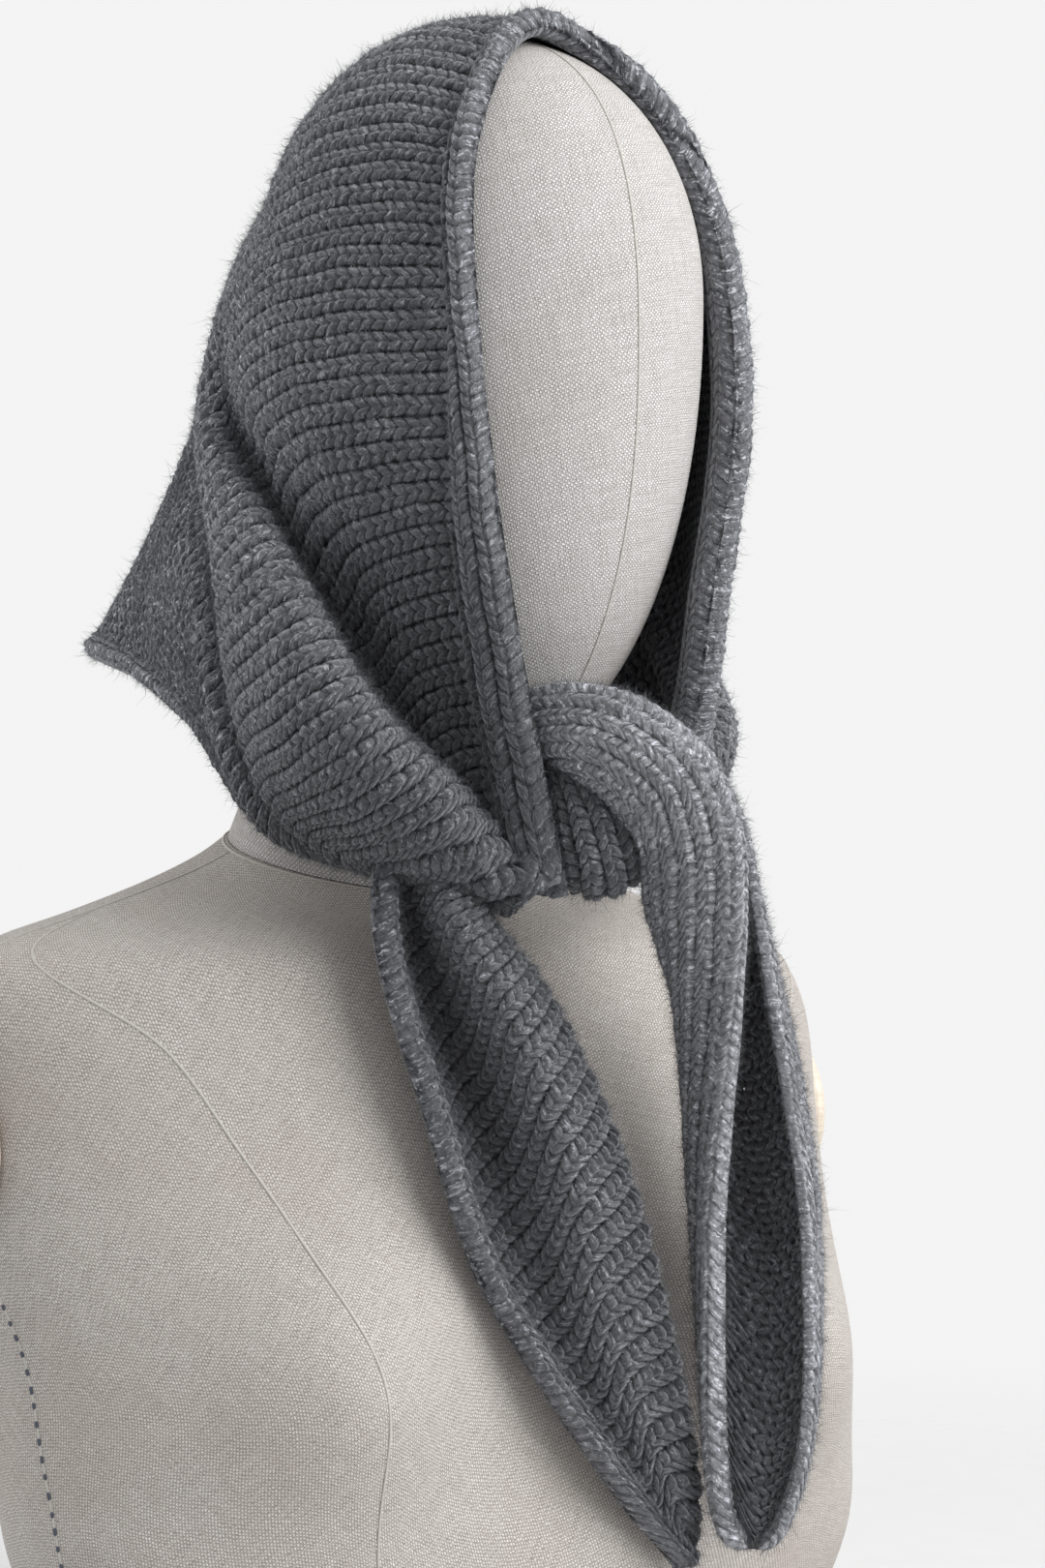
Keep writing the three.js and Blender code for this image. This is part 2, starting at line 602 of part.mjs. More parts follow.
addMesh(body, "head", headGeometry(), LINEN);
addMesh(body, "torso", torsoGeometry(), LINEN);
for (const [name, side] of [["shoulder_cap_right", -1], ["shoulder_cap_left", 1]]) {
  const cap = plate(CAP.halfDeep, CAP.halfTall, CAP.thick, CAP.bevel);
  const mesh = addMesh(body, name, cap, WOOD);
  mesh.rotation.set(0, (side * Math.PI) / 2, 0);
  mesh.position.set(side * (ARMHOLE + SEAM), CAP.y, CAP.z);
}
addMesh(part, "base", plate(BASE.halfWide, BASE.halfDeep, BASE.thick, BASE.bevel), WOOD);
addMesh(body, "hood", hoodGeometry(), KNIT);
addMesh(turned, "tail_right", rightTailGeometry(), KNIT);
addMesh(turned, "tail_left", leftTailGeometry(), KNIT);
addMesh(turned, "knot_band", strapGeometry(KNOT_BAND), KNIT);
addMesh(turned, "knot_core", strapGeometry(KNOT_CORE), KNIT);

export default part;
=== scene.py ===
"""Looks of a knit bandana that is worn as a hood and tied under the chin of a linen dress form.

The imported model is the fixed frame. Each class below holds one sub-assembly: its sizes are
dataclass fields, its build method makes the meshes, and its dress method gives them their
finish. Lengths are in metres. Body tables take their heights from the chin and their depths
from the axis of the head; place() moves such points into the frame.
"""

import logging
import math
from dataclasses import dataclass
from enum import Enum
from typing import Iterable, Sequence

import bmesh
import bpy
import numpy as np
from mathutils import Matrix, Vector


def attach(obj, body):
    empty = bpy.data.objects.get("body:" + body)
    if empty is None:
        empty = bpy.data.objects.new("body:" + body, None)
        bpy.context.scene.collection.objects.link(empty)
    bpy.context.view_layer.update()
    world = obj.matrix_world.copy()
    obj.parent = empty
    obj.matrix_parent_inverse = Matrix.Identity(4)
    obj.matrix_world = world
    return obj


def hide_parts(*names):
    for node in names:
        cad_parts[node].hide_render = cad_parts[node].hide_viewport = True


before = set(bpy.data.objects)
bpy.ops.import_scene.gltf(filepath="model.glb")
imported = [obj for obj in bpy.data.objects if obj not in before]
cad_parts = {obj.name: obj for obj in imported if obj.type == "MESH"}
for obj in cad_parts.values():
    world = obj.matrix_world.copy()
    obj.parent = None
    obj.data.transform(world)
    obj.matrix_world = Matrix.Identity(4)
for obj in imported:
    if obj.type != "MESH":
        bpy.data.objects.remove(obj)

log = logging.getLogger("bandana")

# ---- Driving sizes ---------------------------------------------------------------

CHIN_HEIGHT = 0.352
BASE_BEHIND = 0.018
SEAM = 0.0003
TURN = math.radians(-36)  # the knot and tails face this far to the wearer's right

LINING_GAP = 0.0011
CLOTH = 0.005
CORD_WIDTH = 0.0105
CORD_RISE = 0.0034
CORD_BLEND = 0.0022  # width over which the cord's stitches give way to the plain ones
FAR_CORD_WIDTH = 0.0080
EDGE_ROUND = 0.0040  # radii over which a corded edge and a tail's tip are rounded
TIP_ROUND = 0.0060
ARMHOLE = 0.190


class Slot(Enum):
    """Names of material slots."""

    KNIT = "knit"
    LINEN = "linen"
    WOOD = "wood"


class Face(Enum):
    """The two faces of a plain knitted cloth."""

    KNIT = "knit"
    PURL = "purl"


# ---- Curves and grids --------------------------------------------------------------


def smooth(t: np.ndarray | float) -> np.ndarray:
    """An eased step from 0 to 1 as t goes from 0 to 1."""
    t = np.clip(t, 0.0, 1.0)
    return t * t * (3 - 2 * t)


def curve_through(knots: Sequence[float], values: Sequence, at: np.ndarray) -> np.ndarray:
    """A smooth curve through values given at rising knots.

    Args:
        knots: The parameters of the values.
        values: Numbers, points or grids, one for each knot.
        at: The parameters to work out.

    Returns:
        The curve's values, one for each parameter.
    """
    knots, rows, at = np.asarray(knots, float), np.asarray(values, float), np.asarray(at, float)
    last = len(knots) - 1
    before, after = np.maximum(np.arange(last + 1) - 1, 0), np.minimum(np.arange(last + 1) + 1, last)
    shape = (-1,) + (1,) * (rows.ndim - 1)
    slopes = (rows[after] - rows[before]) / (knots[after] - knots[before]).reshape(shape)
    i = np.clip(np.searchsorted(knots, at) - 1, 0, last - 1)
    width = (knots[i + 1] - knots[i]).reshape(shape)
    s = np.clip((at - knots[i]).reshape(shape) / width, 0, 1)
    return (
        (2 * s**3 - 3 * s**2 + 1) * rows[i]
        + (s**3 - 2 * s**2 + s) * width * slopes[i]
        + (3 * s**2 - 2 * s**3) * rows[i + 1]
        + (s**3 - s**2) * width * slopes[i + 1]
    )


def surface_through(
    backs: Sequence[float], runs: Sequence[float], net: Sequence, back: np.ndarray, run: np.ndarray
) -> np.ndarray:
    """A grid of points on the surface through a net.

    Args:
        backs: The parameters of the points within each column of the net.
        runs: The parameters of the columns.
        net: The columns, each a list of points.
        back: The parameters of the grid's rows.
        run: The parameters of the grid's columns.

    Returns:
        Points in an array of rows by columns by 3.
    """
    columns = np.stack([curve_through(backs, column, back) for column in net])
    return curve_through(runs, columns, run).transpose(1, 0, 2)


def normals_of(grid: np.ndarray, side: int) -> np.ndarray:
    """Unit normals of a grid of points, on the side that side (+1 or -1) picks."""
    found = np.cross(np.gradient(grid, axis=0), np.gradient(grid, axis=1))
    return side * found / np.maximum(np.linalg.norm(found, axis=2, keepdims=True), 1e-12)


def arc(grid: np.ndarray, axis: int, start: int = 0) -> np.ndarray:
    """Distance along the lines of a grid.

    Args:
        grid: Points in an array of rows by columns by 3.
        axis: 0 to measure down the columns, 1 to measure along the rows.
        start: The number of the line where the distance is 0; it is negative before that.

    Returns:
        The distance at each point.
    """
    steps = np.linalg.norm(np.diff(grid, axis=axis), axis=2)
    total = np.cumsum(steps, axis=axis)
    total = np.concatenate([np.zeros_like(np.take(total, [0], axis=axis)), total], axis=axis)
    return total - np.take(total, [start], axis=axis)


def spaced(breaks: Sequence[tuple[float, int]]) -> np.ndarray:
    """Rising parameters from 0.

    Args:
        breaks: Pairs of an end and a count, each of which adds count even steps up to its end.

    Returns:
        The parameters.
    """
    parts, start = [np.zeros(1)], 0.0
    for end, count in breaks:
        parts.append(start + (end - start) * np.arange(1, count + 1) / count)
        start = end
    return np.concatenate(parts)


def place(points: np.ndarray, turned: bool = False) -> np.ndarray:
    """Points of the body tables in the row frame.

    Args:
        points: Points with heights from the chin and depths from the axis of the head.
        turned: Whether they are in the turned frame of the knot and tails.

    Returns:
        The points in the row frame.
    """
    points = np.asarray(points, float)
    if turned:
        c, s = math.cos(TURN), math.sin(TURN)
        x, y = points[..., 0] * c - points[..., 1] * s, points[..., 0] * s + points[..., 1] * c
        points = np.stack([x, y, points[..., 2]], axis=-1)
    return points + np.array([0.0, -BASE_BEHIND, CHIN_HEIGHT])


def metres(table: Sequence, sizes: int) -> np.ndarray:
    """A table as an array.

    Args:
        table: Rows of numbers, or several such tables.
        sizes: How many of a row's first numbers are in millimetres.

    Returns:
        The array, with those numbers in metres.
    """
    found = np.array(table, float)
    found[..., :sizes] /= 1000
    return found


# ---- Meshes ------------------------------------------------------------------------


def mesh_piece(
    name: str,
    points: np.ndarray,
    faces: Iterable[np.ndarray],
    flat_from: int | None = None,
    maps: dict[str, np.ndarray] | None = None,
    shades: dict[str, np.ndarray] | None = None,
    finishes: np.ndarray | None = None,
) -> bpy.types.Object:
    """A mesh object from arrays.

    Args:
        name: The piece's name.
        points: Its points, in the row frame.
        faces: Groups of faces, each an array of point numbers with a row for each face.
        flat_from: The number of the first face that isn't shaded smooth.
        maps: UV maps, given at the points.
        shades: Named numbers, given at the points.
        finishes: The number of each face's material.

    Returns:
        The object, linked to the scene.
    """
    mesh = bpy.data.meshes.new(name)
    rows = [row for group in faces for row in group.tolist()]
    mesh.from_pydata(np.asarray(points, float).reshape(-1, 3).tolist(), [], rows)
    soft = np.ones(len(rows), bool)
    if flat_from is not None:
        soft[flat_from:] = False
    mesh.polygons.foreach_set("use_smooth", soft)
    if finishes is not None:
        mesh.polygons.foreach_set("material_index", finishes)
    corners = np.zeros(len(mesh.loops), np.int32)
    mesh.loops.foreach_get("vertex_index", corners)
    for label, values in (maps or {}).items():
        layer = mesh.uv_layers.new(name=label)
        layer.data.foreach_set("uv", values.reshape(-1, 2)[corners].astype(np.float32).ravel())
    for label, values in (shades or {}).items():
        attribute = mesh.attributes.new(label, "FLOAT", "POINT")
        attribute.data.foreach_set("value", values.ravel().astype(np.float32))
    mesh.validate()
    piece = bpy.data.objects.new(name, mesh)
    bpy.context.scene.collection.objects.link(piece)
    return piece


def grid_faces(rows: int, columns: int, first: int, turned_over: bool) -> np.ndarray:
    """Four-sided faces of a grid of points.

    Args:
        rows: The grid's rows of points.
        columns: Its columns of points.
        first: The number of its first point.
        turned_over: Whether the faces look the other way.

    Returns:
        Point numbers, a row for each face.
    """
    i, j = np.meshgrid(np.arange(rows - 1), np.arange(columns - 1), indexing="ij")
    a = (first + i * columns + j).ravel()
    found = np.stack([a, a + columns, a + columns + 1, a + 1], axis=1)
    return found[:, ::-1] if turned_over else found


# ---- Stitches ----------------------------------------------------------------------

CLIMB = 1.5  # rows that a leg climbs from the middle of its wale to the side
WAVE = 0.27  # rows that a purl bump swings up and down
STITCH_DEPTH = 0.0036  # from the top of a wale to the groove beside it
STITCH_SINK = 0.0016  # grooves lie this far under the plain cloth's face


def chance(column: np.ndarray, row: np.ndarray | float = 0.0, salt: float = 0.0) -> np.ndarray:
    """Numbers spread from 0 to 1, the same for each stitch every time."""
    return np.modf(np.abs(np.sin(column * 12.9898 + row * 78.233 + salt * 37.719)) * 43758.5453)[0]


def wander(x: np.ndarray, y: np.ndarray, seed: float) -> np.ndarray:
    """A slow drift between about -1 and 1."""
    waves = np.sin(x + 1.3 * y + seed) + np.sin(2.3 * x - 1.7 * y + 2.1 * seed)
    return (waves + np.sin(0.6 * x + 2.9 * y + 3 * seed)) / 2.2


@dataclass(frozen=True)
class Gauge:
    """The widths of a knit's wales and the heights of its rows."""

    wale: float
    row: float
    seed: float = 0.0

    def places(self, across: np.ndarray, along: np.ndarray) -> np.ndarray:
        """Places counted in wales and rows, as uneven as a soft hand knit.

        Args:
            across: Distance across the wales.
            along: Distance along the wales.

        Returns:
            The counts, in the last axis of the array.
        """
        x, y = across / self.wale, along / self.row
        x = x + 0.07 * wander(0.4 * y, 0.25 * x, self.seed)
        y = y + 0.16 * wander(0.9 * x, 0.3 * y, self.seed + 5) + 0.5 * chance(np.floor(x), salt=self.seed)
        return np.stack([x, y], axis=-1)

    def even_places(self, across: np.ndarray, along: np.ndarray) -> np.ndarray:
        """Places counted in wales and rows, with no unevenness."""
        return np.stack([across / self.wale, along / self.row], axis=-1)


CLOTH_GAUGE = Gauge(0.0078, 0.0050)
CORD_GAUGE = Gauge(0.0084, 0.0052, 3.0)
STRAND_GAUGE = Gauge(0.0068, 0.0047, 9.0)


def relief(face: Face, places: np.ndarray) -> np.ndarray:
    """Heights from 0 to about 1 of the stitches of one face.

    Args:
        face: The knit face has a ridge of V's along each wale, the purl face waves across them.
        places: Places counted in wales and rows.

    Returns:
        The height at each place.
    """
    x, y = places[..., 0], places[..., 1]
    if face is Face.PURL:
        step = y + WAVE * np.sin(2 * math.pi * x)
        part = step - np.floor(step) - 0.5
        return np.sqrt(np.clip(1 - 3.8 * part**2, 0, 1)) * (0.75 + 0.25 * np.cos(4 * math.pi * x))
    side = np.abs(x - np.floor(x) - 0.5)
    step = y - CLIMB * side
    part = step - np.floor(step) - 0.5
    filled = 0.28 * smooth(0.5 + wander(2.3 * np.round(x), 0.45 * y, 1.7))
    ridge = np.maximum(np.sqrt(np.clip(1 - (2 * side) ** 2.2, 0, 1)), filled)
    ridge = ridge * (1 - 0.30 * np.exp(-((side / 0.08) ** 2)))
    leg = np.sqrt(np.clip(1 - 3.7 * part**2, 0, 1)) * (1 + 0.35 * part)
    odd = 0.86 + 0.26 * chance(np.floor(x), np.floor(step), np.sign(x - np.floor(x) - 0.5))
    return ridge * (0.34 + 0.66 * leg) * odd


@dataclass(frozen=True)
class Cloth:
    """Stitches over a grid: plain ones, those of a corded edge, and the share of the cord."""

    plain: np.ndarray
    cord: np.ndarray
    share: np.ndarray

    def height(self) -> np.ndarray:
        """The height of the stitches from 0 to about 1."""
        return (1 - self.share) * relief(Face.KNIT, self.plain) + self.share * relief(Face.KNIT, self.cord)


def corded(
    across: np.ndarray,
    inward: np.ndarray,
    other: np.ndarray | None = None,
    width: np.ndarray | float = CORD_WIDTH,
) -> Cloth:
    """Plain stitches with a corded edge.

    Args:
        across: Distance along the edge, which is across the wales.
        inward: Distance in from the edge.
        other: Distance in from the opposite edge, where that is corded too.
        width: How wide the cord is.

    Returns:
        The stitches.
    """
    plain = CLOTH_GAUGE.places(across, inward)
    cord = CORD_GAUGE.places(inward, across)
    share = 1 - smooth((inward - width + 0.0010) / CORD_BLEND)
    if other is not None:
        far = 1 - smooth((other - FAR_CORD_WIDTH) / CORD_BLEND)
        far_cord = CORD_GAUGE.places(other + 0.0012, across)
        cord = np.where((far > share)[..., None], far_cord, cord)
        share = np.maximum(share, far)
    return Cloth(plain, cord, share)


def rounded(distance: np.ndarray, radius: float) -> np.ndarray:
    """Share of the full thickness at a distance in from an edge that is rounded over."""
    return np.sqrt(1 - (1 - np.clip(distance / radius, 0, 1)) ** 2)


def roll_rise(inward: np.ndarray, width: np.ndarray | float = CORD_WIDTH) -> np.ndarray:
    """Height of a rolled edge above the cloth at a distance in from it."""
    return CORD_RISE * np.sin(math.pi * np.clip(inward / (width * 1.1), 0, 1)) ** 0.7


def both_faces(
    sheet: np.ndarray, outward: np.ndarray, full: np.ndarray, under: np.ndarray, edge: np.ndarray
) -> tuple[np.ndarray, np.ndarray]:
    """The two faces of a cloth, drawn together at its edges.

    Args:
        sheet: The grid of points that the cloth lies on.
        outward: Its normals.
        full: How far the knit face lies above it.
        under: How far the purl face does, less than 0 where it lies below.
        edge: The share of the full thickness, which falls to 0 at a rounded edge.

    Returns:
        The knit face and the purl face.
    """
    centre = (full + under) / 2
    knit, purl = (sheet + outward * (centre + (face - centre) * edge)[..., None] for face in (full, under))
    return knit, purl


@dataclass
class Shell:
    """A closed sheet of cloth between two grids of points.

    The inner grid may be coarser: it keeps every step-th line of the outer one, and faces
    with more corners close the rim.
    """

    name: str
    outer: np.ndarray
    inner: np.ndarray
    cloth: Cloth
    purl: np.ndarray
    step: int = 1
    turned_over: bool = False
    flat_ends: tuple[bool, bool] = (False, False)
    holes: Sequence[tuple[int, int]] = ()
    # painted light and shade multiplied into the yarn's colour, with more painted shade on the inner face
    tone_and_light: np.ndarray | float = 1.0
    inside_shade: float = 0.85

    def build(self) -> bpy.types.Object:
        """Makes the closed mesh with the places of its stitches as UV maps.

        Returns:
            The piece.
        """
        rows, columns, _ = self.outer.shape
        thin = (slice(None, None, self.step), slice(None, None, self.step))
        inner = self.inner[thin]
        under, few = rows * columns, inner.shape[1]
        top = grid_faces(rows, columns, 0, self.turned_over)
        low = grid_faces(inner.shape[0], few, under, not self.turned_over)
        number = np.arange(under).reshape(rows, columns)
        inner_number = under + np.arange(inner.shape[0] * few).reshape(inner.shape[:2])
        soft = [
            self._rim(number[0], inner_number[0], True),
            self._rim(number[-1], inner_number[-1], False),
        ]
        flat = []
        for column, flips, is_flat in ((0, False, self.flat_ends[0]), (-1, True, self.flat_ends[1])):
            (flat if is_flat else soft).append(self._rim(number[:, column], inner_number[:, column], flips))
        if self.holes:
            gone = np.array([i * (columns - 1) + j for i, j in self.holes])
            top, low = np.delete(top, gone, axis=0), np.delete(low, gone, axis=0)
            soft.append(self._hole_walls(columns, under))
        faces = [top, *soft, low, *flat]
        counts = [len(group) for group in faces]
        share = np.concatenate([self.cloth.share.ravel(), self.cloth.share[thin].ravel()])
        inside = np.concatenate([
            (share[low].mean(axis=1) < 0.5).astype(np.int32) if group is low else np.zeros(n, np.int32)
            for n, group in zip(counts, faces)
        ])
        maps = {
            "Stitch": np.concatenate([self.cloth.plain.reshape(-1, 2), self.purl[thin].reshape(-1, 2)]),
            "Cord": np.concatenate([self.cloth.cord.reshape(-1, 2), self.cloth.cord[thin].reshape(-1, 2)]),
        }
        # painted light and shade at each point, darker on the inner face
        tone_and_light = self.tone_and_light + np.zeros(self.outer.shape[:2])
        tone_and_light = np.concatenate([tone_and_light.ravel(), self.inside_shade * tone_and_light[thin].ravel()])
        points = np.concatenate([self.outer.reshape(-1, 3), inner.reshape(-1, 3)])
        flat_from = sum(counts) - sum(len(rim) for rim in flat)
        shades = {"CordShare": share, "PaintedLight": tone_and_light}
        return mesh_piece(self.name, points, faces, flat_from, maps, shades, inside)

    def _rim(self, line: np.ndarray, inner_line: np.ndarray, flips: bool) -> np.ndarray:
        """Faces that close one edge, each between one inner step and its outer ones.

        Args:
            line: Point numbers along the outer face's edge.
            inner_line: Point numbers along the inner face's edge.
            flips: Whether this edge runs the other way round.

        Returns:
            Point numbers, a row for each face.
        """
        spans = [line[k : k + self.step + 1] for k in range(0, len(line) - 1, self.step)]
        pairs = [inner_line[k : k + 2][::-1] for k in range(len(inner_line) - 1)]
        found = np.array([np.concatenate([a, b]) for a, b in zip(spans, pairs)])
        return found[:, ::-1] if flips != self.turned_over else found

    def _hole_walls(self, columns: int, under: int) -> np.ndarray:
        """The four walls of each one-face hole through both layers.

        Args:
            columns: The outer grid's columns of points.
            under: The number of the inner grid's first point.

        Returns:
            Point numbers, a row for each face.
        """
        walls = []
        for i, j in self.holes:
            ring = [i * columns + j, (i + 1) * columns + j, (i + 1) * columns + j + 1, i * columns + j + 1]
            for a, b in zip(ring, ring[1:] + ring[:1]):
                wall = [b, a, under + a, under + b]
                walls.append([a, b, under + b, under + a] if self.turned_over else wall)
        return np.array(walls)


# ---- Finishes ----------------------------------------------------------------------


class Shader:
    """A material's node tree, with short calls for the nodes that the finishes use."""

    def __init__(self, name: str) -> None:
        """Starts a material with a Principled shader on its surface.

        Args:
            name: The material's name.
        """
        self.material = bpy.data.materials.new(name)
        self.material.use_nodes = True
        self.tree = self.material.node_tree
        self.tree.nodes.clear()
        output = self.tree.nodes.new("ShaderNodeOutputMaterial")
        self.surface = self.tree.nodes.new("ShaderNodeBsdfPrincipled")
        self.tree.links.new(self.surface.outputs[0], output.inputs["Surface"])

    def finish(self, values: dict[str, object]) -> bpy.types.Material:
        """Gives the surface its values.

        Args:
            values: Numbers, colours or outputs, by the name of the surface's socket.

        Returns:
            The material.
        """
        for name, value in values.items():
            self.put(self.surface.inputs[name], value)
        return self.material

    def put(self, socket: bpy.types.NodeSocket, value: object) -> None:
        """Gives a socket its value.

        Args:
            socket: The socket.
            value: An output to link, or a number or colour to set; None leaves the socket alone.
        """
        if isinstance(value, bpy.types.NodeSocket):
            self.tree.links.new(value, socket)
        elif value is not None:
            socket.default_value = value

    def node(self, kind: str, inputs: dict[int | str, object], output: int | str = 0, **settings: object):
        """Adds a node.

        Args:
            kind: The node's type, without its ShaderNode prefix.
            inputs: Values or outputs for its sockets.
            output: The output that is returned.
            settings: The node's own properties.

        Returns:
            The output socket.
        """
        made = self.tree.nodes.new("ShaderNode" + kind)
        for key, value in settings.items():
            setattr(made, key, value)
        for key, value in inputs.items():
            self.put(made.inputs[key], value)
        return made.outputs[output]

    def math(self, operation: str, a: object, b: object = None, c: object = None):
        """The result of a Math node."""
        return self.node("Math", {0: a, 1: b, 2: c}, operation=operation)

    def uv(self, label: str):
        """A UV map's coordinates."""
        return self.node("UVMap", {}, uv_map=label)

    def shade(self, label: str):
        """A named number of the mesh."""
        return self.node("Attribute", {}, "Fac", attribute_name=label)

    def scaled(self, vector: object, scale: tuple[float, float, float]):
        """A vector times a scale."""
        return self.node("VectorMath", {0: vector, 1: scale}, operation="MULTIPLY")

    def noise(self, vector: object, scale: float, detail: float = 2.0, roughness: float = 0.5):
        """A noise texture's value."""
        inputs = {"Vector": vector, "Scale": scale, "Detail": detail, "Roughness": roughness}
        return self.node("TexNoise", inputs, "Fac")

    def between(self, value: object, low: float, high: float, start: float = 0.0, end: float = 1.0):
        """A value taken from the range low to high to the range start to end, eased and clamped."""
        inputs = {"Value": value, "From Min": low, "From Max": high, "To Min": start, "To Max": end}
        return self.node("MapRange", inputs, interpolation_type="SMOOTHSTEP")

    def where(self):
        """The place on the object."""
        return self.node("TexCoord", {}, "Object")

    def mix(self, share: object, a: object, b: object):
        """A colour between two colours."""
        return self.node("Mix", {0: share, 6: a, 7: b}, 2, data_type="RGBA")

    def tinted(self, colour: object, tint: object):
        """A colour times another colour or a number."""
        return self.node("Mix", {0: 1.0, 6: colour, 7: tint}, 2, data_type="RGBA", blend_type="MULTIPLY")

    def bump(self, height: object, depth: float, strength: float = 1.0, normal: object = None):
        """A bumped normal for a height from 0 to 1 of that depth in metres."""
        inputs = {"Height": height, "Distance": depth, "Strength": strength, "Normal": normal}
        return self.node("Bump", inputs)


@dataclass(frozen=True)
class YarnFinish:
    """Brushed charcoal yarn: dark and mid greys, silver flecks and a soft sheen, with painted shade in the
    grooves and painted light and shade from each piece's PaintedLight numbers.
    """

    face: Face
    name: str = "charcoal_yarn"
    felting: float = 0.50
    # painted shade: the near-black that the grooves between the stitches darken towards
    deep: tuple = (0.004, 0.004, 0.0055, 1)
    dark: tuple = (0.044, 0.045, 0.050, 1)
    mid: tuple = (0.110, 0.112, 0.123, 1)
    pale: tuple = (0.235, 0.240, 0.258, 1)
    fleck: tuple = (0.45, 0.465, 0.505, 1)

    def make(self) -> bpy.types.Material:
        """Makes the material.

        Returns:
            The material.
        """
        s = Shader(f"{self.name}_{self.face.value}")
        plain = self._stitches(s, s.uv("Stitch"), self.face)
        if self.face is Face.KNIT:
            cord = self._stitches(s, s.uv("Cord"), self.face)
            share = s.shade("CordShare")
            softer = s.math("MULTIPLY_ADD", cord[0], 0.85, 0.15)
            height = s.node("Mix", {0: share, 2: plain[0], 3: softer}, 0)
            where = s.node("Mix", {0: share, 4: plain[1], 5: cord[1]}, 1, data_type="VECTOR")
        else:
            height, where = plain
        strands = s.noise(s.scaled(where, (4.0, 8.0, 1.0)), 1.0, 3.0, 0.65)
        heather = s.noise(s.where(), 420.0, 3.0, 0.65)
        patch = s.noise(s.where(), 60.0, 1.0)
        hairs = s.between(s.noise(s.scaled(where, (3.4, 7.5, 1.0)), 1.0, 2.0), 0.54, 0.64)
        hairs = s.math("MULTIPLY", hairs, s.between(heather, 0.44, 0.56))
        tone_and_light = s.math("ADD", s.math("MULTIPLY", heather, 0.55), s.math("MULTIPLY", strands, 0.45))
        colour = s.mix(s.between(tone_and_light, 0.34, 0.52), self.dark, self.mid)
        colour = s.mix(s.between(tone_and_light, 0.50, 0.68), colour, self.pale)
        colour = s.mix(s.between(patch, 0.35, 0.70, 0.0, 0.35), colour, self.dark)
        # painted shade in the grooves between the stitches
        colour = s.mix(s.between(height, 0.05, 0.72, 1.0, 0.0), colour, self.deep)
        colour = s.mix(s.math("MULTIPLY", hairs, 0.8), colour, self.fleck)
        # painted light and shade: the colour times the mesh's PaintedLight numbers
        colour = s.tinted(colour, s.shade("PaintedLight"))
        return s.finish({
            "Base Color": colour,
            "Roughness": 0.95,
            "Specular IOR Level": 0.15,
            "Sheen Weight": s.between(height, 0.2, 0.8, 0.05, 0.55),
            "Sheen Roughness": 0.55,
            "Sheen Tint": (0.90, 0.93, 0.98, 1),
            "Normal": s.bump(tone_and_light, 0.0012, 0.9, s.bump(height, 0.0024)),
        })

    def _stitches(self, s: Shader, places: bpy.types.NodeSocket, face: Face) -> tuple:
        """Draws the stitches.

        Args:
            s: The material that is being made.
            places: Places counted in wales and rows.
            face: Which face of the cloth shows.

        Returns:
            Their height, and a place across, along and among the legs.
        """
        split = s.node("SeparateXYZ", {0: places}, 0)
        place_of = s.where()
        woolly = s.node("TexNoise", {"Vector": place_of, "Scale": 480.0, "Detail": 2.0}, "Color")
        stray = s.node("SeparateXYZ", {0: woolly}, 0)
        x = s.math("MULTIPLY_ADD", stray, 0.20, s.math("SUBTRACT", split, 0.10))
        lower = s.math("SUBTRACT", split.node.outputs[1], 0.22)
        y = s.math("MULTIPLY_ADD", stray.node.outputs[1], 0.44, lower)
        felt = s.between(s.noise(place_of, 170.0, 1.0), 0.44, 0.60, 0.3 * self.felting, self.felting)
        column = s.math("FLOOR", x)
        if face is Face.PURL:
            swing = s.math("MULTIPLY", s.math("SINE", s.math("MULTIPLY", x, 2 * math.pi)), WAVE)
            step = s.math("ADD", y, swing)
            body = s.math("MULTIPLY_ADD", s.math("COSINE", s.math("MULTIPLY", x, 4 * math.pi)), 0.25, 0.75)
            side = x
        else:
            side = s.math("ABSOLUTE", s.math("SUBTRACT", s.math("FRACT", x), 0.5))
            step = s.math("SUBTRACT", y, s.math("MULTIPLY", side, CLIMB))
            wide = s.math("POWER", s.math("MULTIPLY", side, 2.0), 2.2)
            fall = s.math("MAXIMUM", s.math("SUBTRACT", 1.0, wide), 0.0)
            body = s.math("MAXIMUM", s.math("SQRT", fall), felt)
            body = s.math("MULTIPLY", body, s.between(side, 0.0, 0.11, 0.72, 1.0))
        part = s.math("SUBTRACT", s.math("FRACT", step), 0.5)
        leg = s.math("MULTIPLY", s.math("MULTIPLY", part, part), 3.8)
        leg = s.math("SQRT", s.math("MAXIMUM", s.math("SUBTRACT", 1.0, leg), 0.0))
        height = s.math("MULTIPLY", body, s.math("MULTIPLY_ADD", leg, 0.74, 0.26))
        mark = s.math("MULTIPLY_ADD", column, 7.3, s.math("MULTIPLY", s.math("FLOOR", step), 3.1))
        return height, s.node("CombineXYZ", {0: side, 1: part, 2: mark})


@dataclass(frozen=True)
class FuzzFinish:
    """The loose pale fibres that stand off the yarn."""

    name: str = "yarn_fuzz"
    dark: tuple = (0.055, 0.057, 0.064, 1)
    pale: tuple = (0.17, 0.175, 0.19, 1)

    def make(self) -> bpy.types.Material:
        """Makes the material.

        Returns:
            The material.
        """
        s = Shader(self.name)
        colour = s.mix(s.between(s.noise(s.where(), 900.0, 1.0), 0.35, 0.7), self.dark, self.pale)
        return s.finish({"Base Color": colour, "Roughness": 0.7, "Sheen Weight": 0.3})


